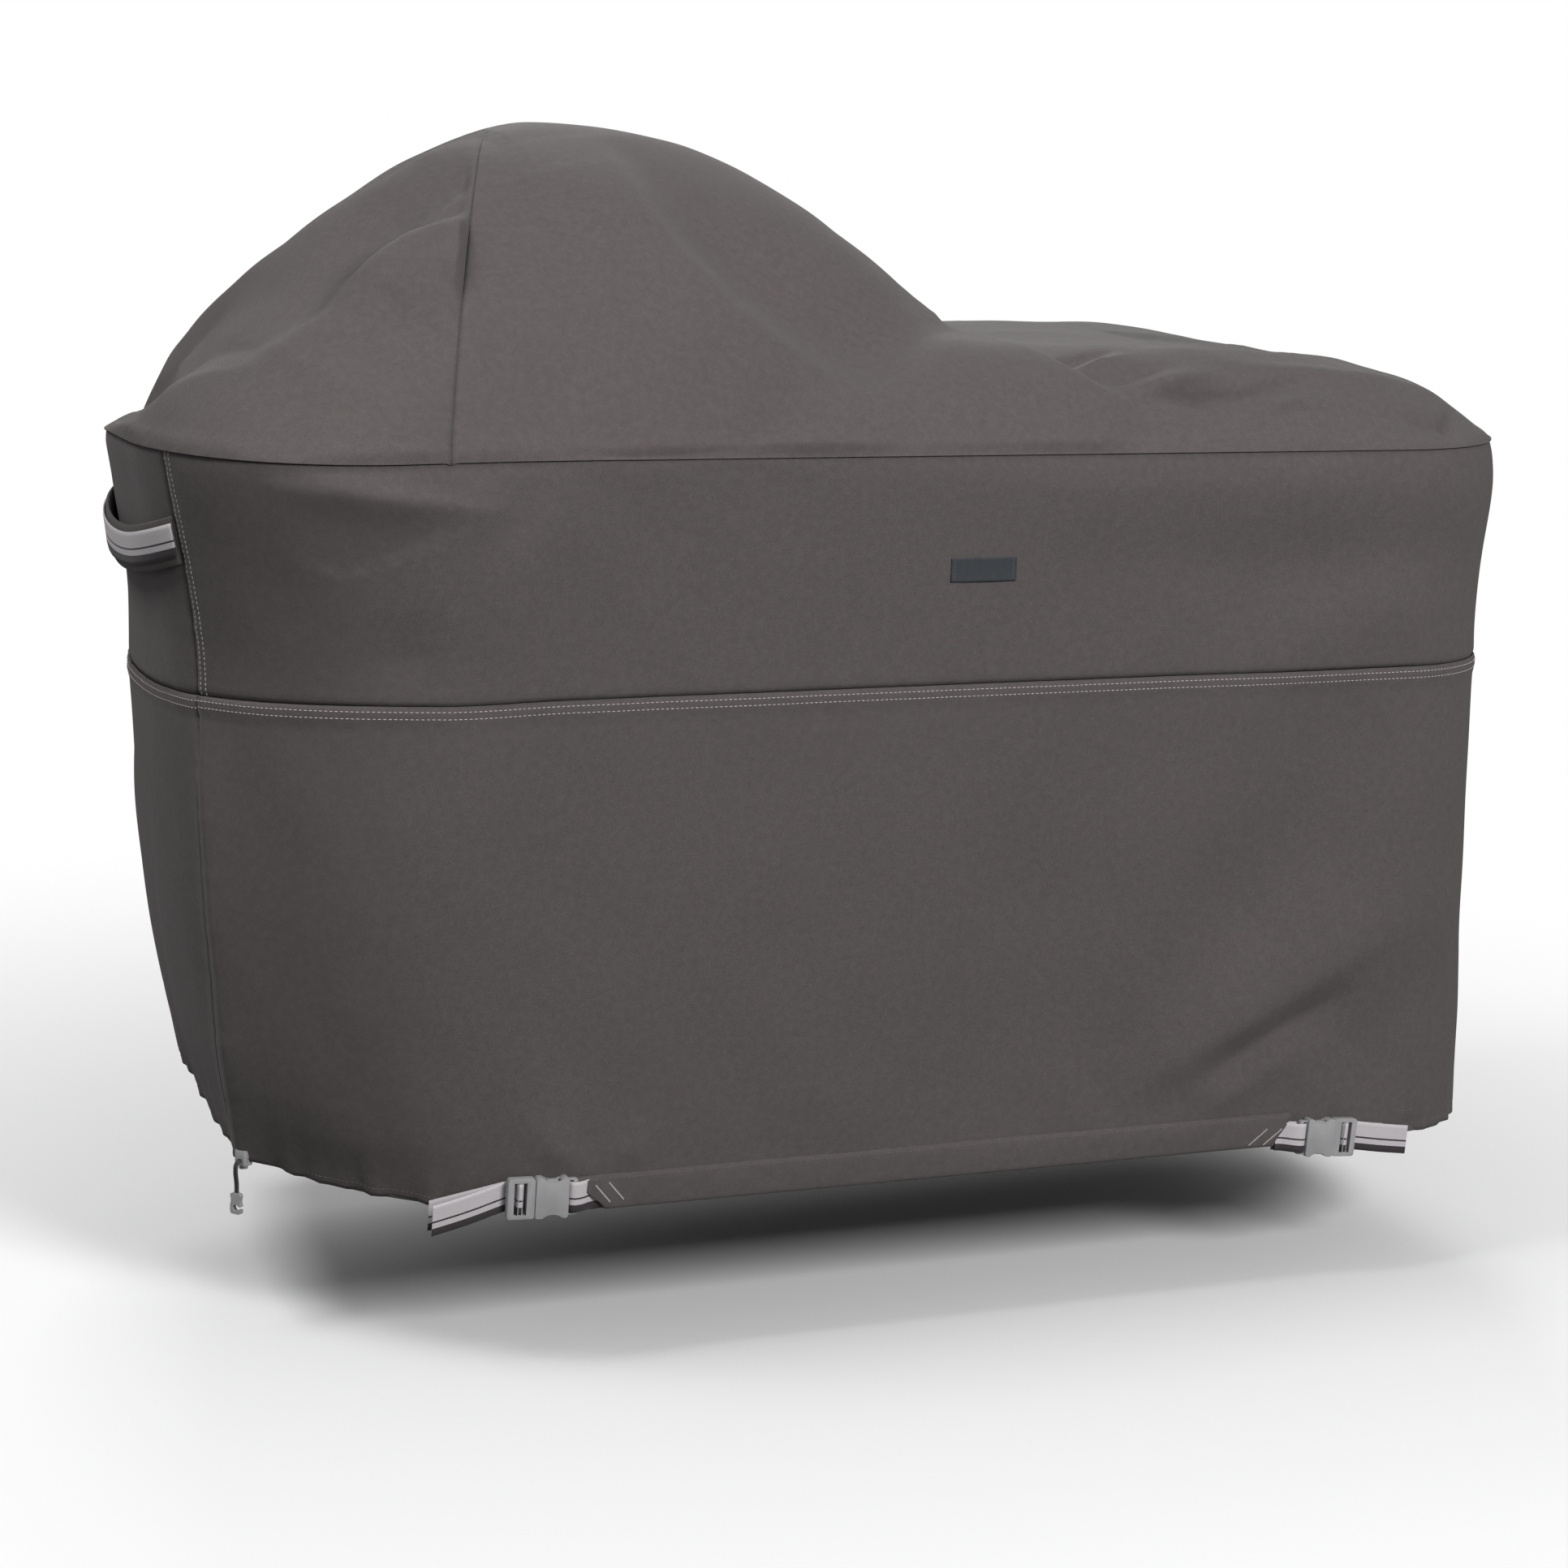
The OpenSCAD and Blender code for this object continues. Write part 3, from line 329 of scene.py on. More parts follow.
skirt_folds = [
    (12, 26, 1.5, [(-340, -335, -318, 0), (-272, -384, -322, 11), (-210, -390, -331, 17),
        (-150, -384, -341, 13), (-95, -380, -346, 0)]),
    (12, 8, 1.3, [(-165, -386, -316, 0), (-140, -383, -326, 6), (-105, -381, -333, 0)]),
    (40, 40, 2, [(-215, -379, -439, 0), (-200, -377, -490, -6), (-190, -376, -530, 0)]),
    (60, 110, 2, [(-150, -383, -335, 3), (-133, -382, -354, 9), (-130, -378, -440, 12),
        (-129, -375, -528, 10), (-150, -371, -640, 13), (-175, -355, -750, 14), (-195, -343, -847, 12),
        (-205, -325, -950, 7), (-200, -320, -1040, 0)]),
    (30, 45, 2, [(-128, -378, -445, 0), (-90, -377, -395, 6), (-58, -377, -361, 6),
        (-20, -376, -318, 0)]),
    (30, 60, 2, [(200, -377, -338, 0), (500, -377, -338, 6), (800, -377, -340, 8),
        (1000, -350, -344, 6), (1080, -200, -350, 0)]),
    (45, 45, 2, [(420, -375, -405, 0), (700, -375, -412, -6), (940, -374, -420, -5),
        (1050, -310, -425, 0)]),
    (60, 45, 2, [(1033, -334, -430, 0), (886, -375, -465, 7), (757, -375, -520, 6),
        (640, -375, -600, 0)]),
    (60, 70, 2, [(886, -375, -561, 0), (739, -375, -792, -12), (620, -376, -945, -9),
        (560, -376, -1010, 0)]),
    (26, 90, 1.8, [(960, -372, -800, 0), (905, -375, -835, 6), (832, -373, -876, 15),
        (745, -375, -915, 17), (657, -377, -957, 10), (585, -376, -992, 0)]),
    (18, 22, 1.6, [(890, -373, -890, 0), (824, -373, -922, -13), (744, -375, -960, -14),
        (690, -375, -985, 0)]),
    (20, 26, 1.6, [(850, -373, -935, 0), (790, -374, -965, 7), (730, -375, -1000, 6),
        (700, -375, -1018, 0)]),
    (60, 50, 2, [(1040, -330, -840, 0), (980, -370, -900, -8), (900, -374, -960, -8),
        (860, -374, -1010, 0)]),
    (5, 8, 1.2, [(1037, -336, -689, 0), (1000, -355, -850, 3.5), (961, -374, -1003, 0)]),
    (80, 80, 2, [(240, -375, -560, 0), (200, -375, -760, 6), (230, -375, -960, 5),
        (240, -375, -1030, 0)]),
    (90, 70, 2, [(420, -375, -560, 0), (470, -375, -760, -6), (400, -375, -960, -5),
        (380, -375, -1030, 0)]),
    (16, 22, 1.6, [(-60, -375, -940, 0), (-40, -375, -990, 6), (-10, -375, -1015, 4),
        (0, -375, -1030, 0)]),
    (12, 16, 1.5, [(60, -375, -960, 0), (42, -375, -1000, 5), (40, -375, -1022, 0)]),
    (70, 60, 2, [(-300, -230, -860, 0), (-270, -262, -930, 5), (-230, -290, -1000, 4),
        (-215, -300, -1040, 0)]),
    (150, 150, 2, [(-336, 140, -560, 0), (-334, 140, -640, -10), (-325, 140, -760, -10),
        (-310, 140, -900, -7), (-300, 140, -1000, 0)]),
    (20, 30, 1.8, [(1081, -150, -320, 0), (1090, 0, -420, 7), (1085, 120, -520, 0)]),
    (60, 60, 2, [(1083, 60, -560, 0), (1083, 120, -780, 9), (1090, 90, -1000, 0)]),
    (60, 60, 2, [(1083, -110, -560, 0), (1083, -130, -780, -8), (1090, -100, -1000, 0)]),
    (70, 60, 2, [(750, 375, -560, 0), (640, 372, -780, 9), (560, 368, -1000, 0)]),
    (70, 80, 2, [(300, 355, -560, 0), (230, 350, -780, -9), (260, 352, -1000, 0)]),
    (60, 60, 2, [(-40, 330, -560, 0), (0, 332, -780, 8), (-30, 328, -1000, 0)])]
chance = np.random.default_rng(7)
ripples, ripple_high, ripple_long = 26, 0.175, (70, 260)
ripple_way = chance.normal(size=(ripples, 3))
ripple_size = np.linalg.norm(ripple_way, axis=1)
ripple_way *= (2 * np.pi / chance.uniform(*ripple_long, ripples) / ripple_size)[:, None]
ripple_from = chance.uniform(0, 2 * np.pi, ripples)


def normals_of(grid):
    """Outward directions of a grid of points, whose rows go down and columns round to the right."""
    n = np.cross(np.gradient(grid, axis=0), np.gradient(grid, axis=1))
    return n / np.maximum(np.linalg.norm(n, axis=2, keepdims=True), 1e-9)


def fold_height(grid, normal, folds):
    """How far each point stands off the plain shape."""
    height = ripple_high * np.sin(grid @ ripple_way.T + ripple_from).sum(-1)
    for left, right, power, run in folds:
        run = np.array(run, float)
        near, high, side = np.full(grid.shape[:2], 1e9), np.zeros(grid.shape[:2]), np.zeros(grid.shape[:2])
        for a, b in zip(run, run[1:]):
            way = b[:3] - a[:3]
            f = np.clip((grid - a[:3]) @ way / (way @ way), 0, 1)
            gap = grid - (a[:3] + f[..., None] * way)
            lift = (gap * normal).sum(-1)
            beside = np.linalg.norm(gap - lift[..., None] * normal, axis=2)
            far = np.hypot(beside, 3 * np.maximum(0, np.abs(lift) - 40))
            closer = far < near
            near = np.where(closer, far, near)
            high = np.where(closer, mix(a[3], b[3], f), high)
            side = np.where(closer, (np.cross(way, gap) * normal).sum(-1), side)
        height += high * np.exp(-(near / np.where(side > 0, left, right)) ** power)
    return height


def even(t0, t1, v, step):
    """Places from t0 to t1 about one step apart round the cover at depth v, with one more at each end."""
    t = np.linspace(t0, t1, 4000)
    x, y = outline(v, t)
    run = np.concatenate([[0], np.cumsum(np.hypot(np.diff(x), np.diff(y)))])
    places = np.interp(np.linspace(0, run[-1], int(run[-1] / step) + 1), run, t)
    return np.concatenate([[2 * places[0] - places[1]], places, [2 * places[-1] - places[-2]]])


def runs(grid):
    """Lengths along the cloth from a grid's top row and from its first column."""
    down = np.linalg.norm(np.diff(grid, axis=0), axis=2).cumsum(0)
    round_ = np.linalg.norm(np.diff(grid, axis=1), axis=2).cumsum(1)
    return np.pad(down, ((1, 0), (0, 0))), np.pad(round_, ((0, 0), (1, 0)))


def pucker(u):
    """The fine uneven gathers along a seam, from -1 to 1."""
    return (np.sin(u / 3.1) + np.sin(u / 4.7 + 1) + np.sin(u / 7.3 + 2) + np.sin(u / 1.9 + 0.5)) / 4


weave = bpy.data.node_groups.new("twill weave", "ShaderNodeTree")
for way, label, kind in (("INPUT", "Threads per metre", "NodeSocketFloat"),
                         ("INPUT", "Light", "NodeSocketColor"),
                         ("INPUT", "Dark", "NodeSocketColor"),
                         ("OUTPUT", "Colour", "NodeSocketColor"),
                         ("OUTPUT", "Height", "NodeSocketFloat")):
    weave.interface.new_socket(label, in_out=way, socket_type=kind)
given, result = weave.nodes.new("NodeGroupInput"), weave.nodes.new("NodeGroupOutput")
laid = node_of(weave, "ShaderNodeUVMap", uv_map="weave")
scaled = node_of(weave, "ShaderNodeVectorMath", operation="SCALE")
ribs = node_of(weave, "ShaderNodeTexWave",
               {"Scale": 0.3, "Distortion": 0.8, "Detail": 1.0, "Detail Scale": 0.4},
               bands_direction="DIAGONAL")
slubs = node_of(weave, "ShaderNodeTexNoise", {"Scale": 0.36, "Detail": 4.0, "Roughness": 0.8})
cast = node_of(weave, "ShaderNodeTexNoise", {"Scale": 130.0, "Detail": 4.0, "Roughness": 0.7})
where = node_of(weave, "ShaderNodeTexCoord")
height = node_of(weave, "ShaderNodeMath", operation="ADD")
spread = node_of(weave, "ShaderNodeMath", {1: 0.9, 2: -0.55}, operation="MULTIPLY_ADD")
cloudy = node_of(weave, "ShaderNodeMath", {1: 0.8, 2: -0.30}, operation="MULTIPLY_ADD")
both = node_of(weave, "ShaderNodeMath", operation="ADD", use_clamp=True)
shade = node_of(weave, "ShaderNodeMix", data_type="RGBA")
wire(weave,
     (laid, "UV", scaled, 0),
     (given, "Threads per metre", scaled, "Scale"),
     (scaled, 0, ribs, "Vector"),
     (scaled, 0, slubs, "Vector"),
     (where, "Object", cast, "Vector"),
     (ribs, "Fac", height, 0),
     (slubs, "Fac", height, 1),
     (height, 0, spread, 0),
     (cast, "Fac", cloudy, 0),
     (spread, 0, both, 0),
     (cloudy, 0, both, 1),
     (both, 0, shade, "Factor"),
     (given, "Dark", shade, "A"),
     (given, "Light", shade, "B"),
     (shade, "Result", result, "Colour"),
     (height, 0, result, "Height"))


def woven(name, threads, light, dark, roughness, sheen, depth):
    """A material of woven yarn, between a light and a dark shade."""
    material, tree, shader = new_material(name, roughness, sheen)
    group = node_of(tree, "ShaderNodeGroup", node_tree=weave)
    group.inputs["Threads per metre"].default_value = threads
    group.inputs["Light"].default_value = (*light, 1)
    group.inputs["Dark"].default_value = (*dark, 1)
    relief = node_of(tree, "ShaderNodeBump", {"Strength": 0.6, "Distance": depth})
    wire(tree,
         (group, "Colour", shader, "Base Color"),
         (group, "Height", relief, "Height"),
         (relief, "Normal", shader, "Normal"))
    return material


twill = woven("taupe twill", 1300.0, (0.128, 0.113, 0.111), (0.062, 0.054, 0.053), 0.85, 0.08, 0.00025)


def merge_doubles(piece, gap, flat_within=0.0):
    """Selects one piece alone, merges its points within a gap, in metres, and joins its flat faces."""
    bpy.ops.object.select_all(action="DESELECT")
    bpy.context.view_layer.objects.active = piece
    piece.select_set(True)
    bpy.ops.object.mode_set(mode="EDIT")
    bpy.ops.mesh.select_all(action="SELECT")
    bpy.ops.mesh.remove_doubles(threshold=gap)
    if flat_within:
        bpy.ops.mesh.dissolve_limited(angle_limit=flat_within)
    bpy.ops.object.mode_set(mode="OBJECT")


def finish_sheet(name, grid, thick, material):
    """Makes cloth of a grid of points in millimetres, laid out in metres for its weave."""
    rows, cols = grid.shape[:2]
    mesh = bpy.data.meshes.new(name)
    index = np.arange(rows * cols).reshape(rows, cols)
    faces = np.stack([index[:-1, :-1], index[1:, :-1], index[1:, 1:], index[:-1, 1:]], -1).reshape(-1, 4)
    mesh.from_pydata((grid.reshape(-1, 3) / 1000).tolist(), [], faces.tolist())
    down, round_ = runs(grid)
    flat = np.stack(np.broadcast_arrays(round_[rows // 2][None, :], -down.mean(1)[:, None]), -1) / 1000
    corners = np.zeros(len(mesh.loops), np.int32)
    mesh.loops.foreach_get("vertex_index", corners)
    laid = flat.reshape(-1, 2)[corners].astype(np.float32)
    mesh.uv_layers.new(name="weave").data.foreach_set("uv", laid.ravel())
    piece = bpy.data.objects.new(name, mesh)
    bpy.context.collection.objects.link(piece)
    merge_doubles(piece, 0.0001)
    bpy.ops.object.shade_smooth()
    wall = piece.modifiers.new("thickness", "SOLIDIFY")
    wall.thickness = thick
    wall.offset = -1
    bpy.ops.object.modifier_apply(modifier="thickness")
    piece.data.materials.append(material)
    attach(piece, "cover")
    return piece


dome_front, dome_back, right_middle = 1 + 1 / 15, 6 - 1 / 15, 3.5
row_at = np.sin(np.pi / 2 * np.linspace(0, 1, 96))
row_at = np.append(row_at, 2 * row_at[-1] - row_at[-2] + 0.004)
for name, t0, t1, size, area in (("crown_left", dome_back, 8 + dome_front, (0.80, 0.60), 0.30),
                                 ("crown_main", dome_front, dome_back, (1.35, 1.05), 1.03)):
    around = even(t0, t1, 0.0, 4.2)
    if name == "crown_main":
        around = even(t0, right_middle, 0.0, 6.4)[:-1]
        mirrored = place_of(twin_columns - column_of(around))
        around = np.concatenate([around, mirrored[-2::-1]])
    s, t = np.meshgrid(row_at, around, indexing="ij")
    grid = crown(s, t)
    normal = normals_of(grid)[:-1, 1:-1]
    grid, s = grid[:-1, 1:-1], s[:-1, 1:-1]
    down, round_ = runs(grid)
    edge = down[-1] - down
    seam = np.minimum(round_, round_[:, -1:] - round_)
    high = fold_height(grid, normal, crown_folds)
    if name == "crown_left":
        high += fold_height(grid, normal, left_dome_folds) * ramp(seam / 15)
    high *= ramp(edge / 14) * ramp((edge[0] - edge) / 6 + s)
    plump = mix(1.2, 2.5, 1 - ramp((grid[..., 0] + 250) / 350)) * bump((edge - 12) / 10)
    sewn = -2.0 * np.exp(-seam / 3.5) + 0.9 * pucker(down) * np.exp(-seam / 16) * ramp(edge / 14)
    gather = 0.9 * pucker(round_) * np.exp(-edge / 18) * ramp(edge / 5)
    grid = grid + (high + plump + sewn * ramp(s * 3) + gather)[..., None] * normal
    piece = finish_sheet(name, grid, cloth_thick, twill)
    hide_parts(name + "_panel")

# Skirt.
# Upper and lower panels of the same twill, for the front, the left end and the back, sewn to the
# crown, to each other along the middle seam, and at three upright seams.
panel_run = {"front": (0.25, 4.5), "back": (4.5, 6 + 5 / 12), "left": (6 + 5 / 12, 8.25)}
skirt_step, channel_from, channel_to = 7.0, 0.93, 1.84
cloth = {}
for band, v0, v1, count, tall in (("upper", 0.0, 1.0, 44, 0.24), ("lower", 1.0, 2.0, 96, 0.53)):
    for part, (t0, t1) in panel_run.items():
        step = (v1 - v0) / (count - 1)
        depth = np.linspace(v0 - step, v1 + step, count + 2)
        v, t = np.meshgrid(depth, even(t0, t1, 1.0, skirt_step), indexing="ij")
        grid = skirt(v, t)
        normal = normals_of(grid)[1:-1, 1:-1]
        grid, v, t = grid[1:-1, 1:-1], v[1:-1, 1:-1], t[1:-1, 1:-1]
        down, round_ = runs(grid)
        up = down[-1] - down
        seam = np.minimum(round_, round_[:, -1:] - round_)
        high = fold_height(grid, normal, skirt_folds) * mix(1, ramp(up / 70), band == "lower")
        sewn = -1.6 * np.exp(-seam / 3.0) + 0.8 * pucker(down) * np.exp(-seam / 15)
        if band == "upper":
            high = high * ramp(down / 14)
            tucked = -2.5 * np.exp(-down / 6) - 1.8 * np.exp(-up / 2.5)
            gather = 0.7 * pucker(round_) * (np.exp(-up / 14) + np.exp(-down / 16) * ramp(down / 5))
        else:
            tucked = -1.8 * np.exp(-down / 2.5) + 1.6 * (1 - ramp((down - 15) / 4))
            held = ramp((t % 8 - channel_from) / 0.05) * (1 - ramp((t % 8 - channel_to) / 0.05))
            drawn = (1 - held) * np.where(t % 8 < 4, 1.0, 0.7)
            gather = (0.8 * pucker(round_) * np.exp(-down / 16) - 0.9 * bump((up - 9) / 2)
                      + 6.0 * pucker(round_ / 2.6) * np.exp(-up / 34) * drawn)
            lip = {"front": np.exp(-round_ / 40), "left": np.exp(-(round_[:, -1:] - round_) / 8)}.get(part, 0)
            gather += 9 * ramp((v - 1.02) / 0.25) * lip
        grid = grid + (high + sewn + tucked + gather)[..., None] * normal
        cloth[f"{band}_{part}"] = grid, normal
        piece = finish_sheet(f"{band}_{part}", grid, cloth_thick, twill)
        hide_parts(f"{band}_{part}_panel")

# Hem facing.
# The lower edge of the twill, turned up inside the hem and sewn down in one row, which leaves a
# pocket for the drawcord.
turned_thick, facing_rows = 1.0e-3, 9
v, t = np.meshgrid(np.linspace(2.0, 1.95, facing_rows), np.linspace(0, 8, 501), indexing="ij")
grid = skirt(v, t)
nx, ny = outward(v, t)
inside = 2.4 + 3.6 * np.sin(np.pi * np.linspace(0, 1, facing_rows))[:, None]
grid = grid - np.stack([nx, ny, 0 * nx], -1) * inside[..., None]
facing = finish_sheet("hem_fold", grid, turned_thick, twill)
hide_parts("hem_facing")

# Front channel.
# A folded strip of the twill along the front hem, sewn on along its top edge, with both ends cut
# slanting. The ends of the two anchor straps are sewn in under it.
channel_tall = 38
left_cut, right_cut = (7.5, 7.78), (21.2, 20.86)
down_at = np.array([0, 1.2, 2.6, 4.5, 7, 11, 16, 21, 26, 30, 33, 35.5, 37.2, 38.2])[:, None]
stand_at = np.array([1.0, 2.3, 3.3, 4.1, 4.6, 4.9, 5.0, 5.0, 4.9, 4.7, 4.4, 3.9, 3.0, 1.6])[:, None]


def on_cloth(name, t, up):
    """Points and outward directions of a panel, at places t and heights up above its bottom edge."""
    grid, normal = cloth[name]
    places = even(*panel_run[name.split("_")[1]], 1.0, skirt_step)[1:-1]
    col = np.interp(t, places, np.arange(grid.shape[1]))
    down = runs(grid)[0]
    rise_at = down[-1].mean() - down.mean(1)
    row = np.interp(-up, -rise_at, np.arange(grid.shape[0]))
    row, col = np.broadcast_arrays(row, col)
    r, c = np.minimum(row.astype(int), grid.shape[0] - 2), np.minimum(col.astype(int), grid.shape[1] - 2)
    fr, fc = (row - r)[..., None], (col - c)[..., None]
    return [mix(mix(g[r, c], g[r + 1, c], fr), mix(g[r, c + 1], g[r + 1, c + 1], fr), fc)
            for g in (grid, normal)]


slant = ramp(down_at / channel_tall)
f = np.linspace(0, 1, 240)[None, :]
left_t, right_t = [mix(place_of(top), place_of(low), slant) for top, low in (left_cut, right_cut)]
grid, normal = on_cloth("lower_front", mix(left_t, right_t, f), channel_tall - down_at)
along = runs(grid)[1]
wrinkle = 0.7 * pucker(along / 2.2 + down_at) * np.sin(np.pi * np.clip(down_at / channel_tall, 0, 1))
flare = 2.6 * (1 - ramp(f / 0.09) + ramp((f - 0.91) / 0.09)) * np.minimum(1, stand_at / 4)
grid = grid + (stand_at + wrinkle + flare)[..., None] * normal
channel = finish_sheet("front_channel_strip", grid, turned_thick, twill)
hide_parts("front_channel")
channel_grid, channel_out = grid, normals_of(grid)

# Stitching.
# Spun polyester thread, pale grey on the double topstitching of the middle seam and the front left
# upright seam and on the bar tacks, and taupe along the hem, the channel and the label.
thread_r, thread_sides = 0.42, 6
stitch_bow = [(-0.5, 0.35, -0.5), (-0.3, 1.0, 0.25), (0.3, 1.0, 0.25), (0.5, 0.35, -0.5)]
seam_pitch, seam_stitch, hem_pitch, hem_stitch = 5.2, 3.6, 5.0, 3.4


def mottle(tree, shader, scale, dark, light):
    """Colours a material between two shades by a fine noise, and gives that noise back."""
    where = node_of(tree, "ShaderNodeTexCoord")
    noise = node_of(tree, "ShaderNodeTexNoise", {"Scale": scale, "Detail": 2.0})
    tint = node_of(tree, "ShaderNodeMix", data_type="RGBA")
    tint.inputs["A"].default_value = (*dark, 1)
    tint.inputs["B"].default_value = (*light, 1)
    wire(tree,
         (where, "Object", noise, "Vector"),
         (noise, "Fac", tint, "Factor"),
         (tint, "Result", shader, "Base Color"))
    return noise


def thread(name, light, dark):
    """A material of spun thread."""
    material, tree, shader = new_material(name, 0.7, 0.15)
    fuzz = mottle(tree, shader, 2500.0, dark, light)
    twist = node_of(tree, "ShaderNodeBump", {"Strength": 0.4, "Distance": 0.0002})
    wire(tree, (fuzz, "Fac", twist, "Height"), (twist, "Normal", shader, "Normal"))
    return material


pale_thread = thread("pale thread", (0.62, 0.58, 0.57), (0.36, 0.33, 0.32))
taupe_thread = thread("taupe thread", (0.16, 0.14, 0.138), (0.08, 0.07, 0.069))


def stitches(name, middle, way, normal, length, material):
    """A row of stitches: one bowed stitch of thread, repeated at each middle along its way."""
    n, rings = thread_sides, len(stitch_bow)
    ring = np.linspace(0, 2 * np.pi, n, endpoint=False)
    shape = np.array([(f * length, r * thread_r * math.cos(a), (r * math.sin(a) + h) * thread_r)
                      for f, r, h in stitch_bow for a in ring])
    side = np.cross(normal, way)
    spots = (middle[:, None] + shape[None, :, :1] * way[:, None] + shape[None, :, 1:2] * side[:, None]
             + shape[None, :, 2:] * normal[:, None]).reshape(-1, 3)
    quads = [(n * i + j, n * i + (j + 1) % n, n * i + n + (j + 1) % n, n * i + n + j)
             for i in range(rings - 1) for j in range(n)]
    ends = [tuple(range(n - 1, -1, -1)), tuple(range(n * (rings - 1), n * rings))]
    faces = [tuple(n * rings * m + i for i in face) for m in range(len(middle)) for face in quads + ends]
    mesh = bpy.data.meshes.new(name)
    mesh.from_pydata((spots / 1000).tolist(), [], faces)
    mesh.shade_smooth()
    row = bpy.data.objects.new(name, mesh)
    bpy.context.collection.objects.link(row)
    row.data.materials.append(material)
    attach(row, "cover")


def along_line(line, normal, pitch):
    """Middles, ways and normals of stitches a pitch apart along a line of points on the cloth."""
    run = np.concatenate([[0], np.cumsum(np.linalg.norm(np.diff(line, axis=0), axis=1))])
    at = np.arange(pitch / 2, run[-1], pitch)
    before, middle, after, up = [
        np.stack([np.interp(u, run, values[:, i]) for i in range(3)], -1)
        for values, u in ((line, at - 1), (line, at), (line, at + 1), (normal, at))]
    way = after - before
    way /= np.maximum(np.linalg.norm(way, axis=1, keepdims=True), 1e-9)
    up -= (up * way).sum(1, keepdims=True) * way
    return middle, way, up / np.linalg.norm(up, axis=1, keepdims=True)


def row_below(name, drop):
    """The line on a panel at a drop below its top edge."""
    grid, normal = cloth[name]
    down = runs(grid)[0].mean(1)
    r = np.interp(drop, down, np.arange(len(down)))
    i, f = int(r), r - int(r)
    return mix(grid[i], grid[i + 1], f), mix(normal[i], normal[i + 1], f)


def column_beside(name, gap):
    """The line down a panel at a distance from its first column."""
    grid, normal = cloth[name]
    round_ = runs(grid)[1].mean(0)
    c = np.interp(gap, round_, np.arange(len(round_)))
    i, f = int(c), c - int(c)
    return mix(grid[:, i], grid[:, i + 1], f), mix(normal[:, i], normal[:, i + 1], f)


for part in ("front", "left", "back"):
    for label, drop in (("first", 5.5), ("second", 12.5)):
        line = row_below("lower_" + part, drop)
        stitches(f"middle_seam_{part}_{label}", *along_line(*line, seam_pitch), seam_stitch, pale_thread)
for label, gap in (("first", 5.0), ("second", 12.0)):
    line = column_beside("upper_front", gap)
    stitches(f"upright_seam_{label}", *along_line(*line, seam_pitch), seam_stitch, pale_thread)
for part, t0, t1 in (("front", 0.40, 0.955), ("front", 1.864, 4.48),
                     ("back", 4.52, 6.4), ("left", 6.43, 8.23)):
    t = np.linspace(t0, t1, int(800 * (t1 - t0)))
    line = on_cloth("lower_" + part, t, np.full_like(t, 9.0))
    stitches(f"hem_row_{part}_{t0:.1f}", *along_line(*line, hem_pitch), hem_stitch, taupe_thread)
sewn_row = 3
line = channel_grid[sewn_row], channel_out[sewn_row]
stitches("channel_row", *along_line(*line, hem_pitch), hem_stitch, taupe_thread)
spots, faces_out = channel_grid.reshape(-1, 3), channel_out.reshape(-1, 3)
for number, (x0, z0, x1, z1) in enumerate(((2, -1028, 18, -1047), (17, -1027, 33, -1046),
                                           (761, -1055, 783, -1038), (779, -1056, 801, -1039))):
    line = np.stack([np.linspace(x0, x1, 24), np.zeros(24), np.linspace(z0, z1, 24)], -1)
    near = np.abs(spots[None, :, ::2] - line[:, None, ::2]).sum(-1).argmin(1)
    line[:, 1] = spots[near, 1]
    middle, way, up = along_line(line, faces_out[near], 1.0)
    stitches(f"bar_tack_{number}", middle + 0.3 * up, np.cross(up, way), up, 1.9, pale_thread)

# Label.
# A small woven label of slate yarn, left plain. It lies flat on the upper front and is sewn on at
# its two short ends.
slate_weave = woven("slate weave", 2600.0, (0.052, 0.060, 0.068), (0.026, 0.030, 0.034), 0.75, 0.1, 0.00015)
label_w, label_h, label_x, label_z = 74.0, 24.0, 410.0, rim_z - 116.0
grid, normal = cloth["upper_front"]
reach = np.abs(grid[..., 0] - label_x) + np.abs(grid[..., 2] - label_z) + (grid[..., 1] > 0) * 9e3
row, col = np.unravel_index(reach.argmin(), reach.shape)
seat, out = grid[row, col], normal[row, col]
run_way = grid[row, col + 3] - grid[row, col - 3]
run_way /= np.linalg.norm(run_way)
up_way = np.cross(out, run_way)
x, z = np.meshgrid(np.linspace(-0.5, 0.5, 38) * label_w, np.linspace(0.5, -0.5, 14) * label_h)
bulge = 1.5 + 0.9 * np.cos(np.pi * x / label_w) - 0.5 * np.cos(np.pi * z / label_h)
bulge = bulge + 0.25 * np.sin(x / 5) * np.cos(z / 9)
seat = np.array([label_x, seat[1], label_z])
grid = seat + x[..., None] * run_way + z[..., None] * up_way + bulge[..., None] * out
patch = finish_sheet("label_weave_patch", grid, 0.7e-3, slate_weave)
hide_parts("label_patch")
for number, c in enumerate((2, 35)):
    line = grid[1:-1, c]
    spaced = along_line(line, np.broadcast_to(out, line.shape), 3.0)
    stitches(f"label_stitch_{number}", *spaced, 2.2, taupe_thread)

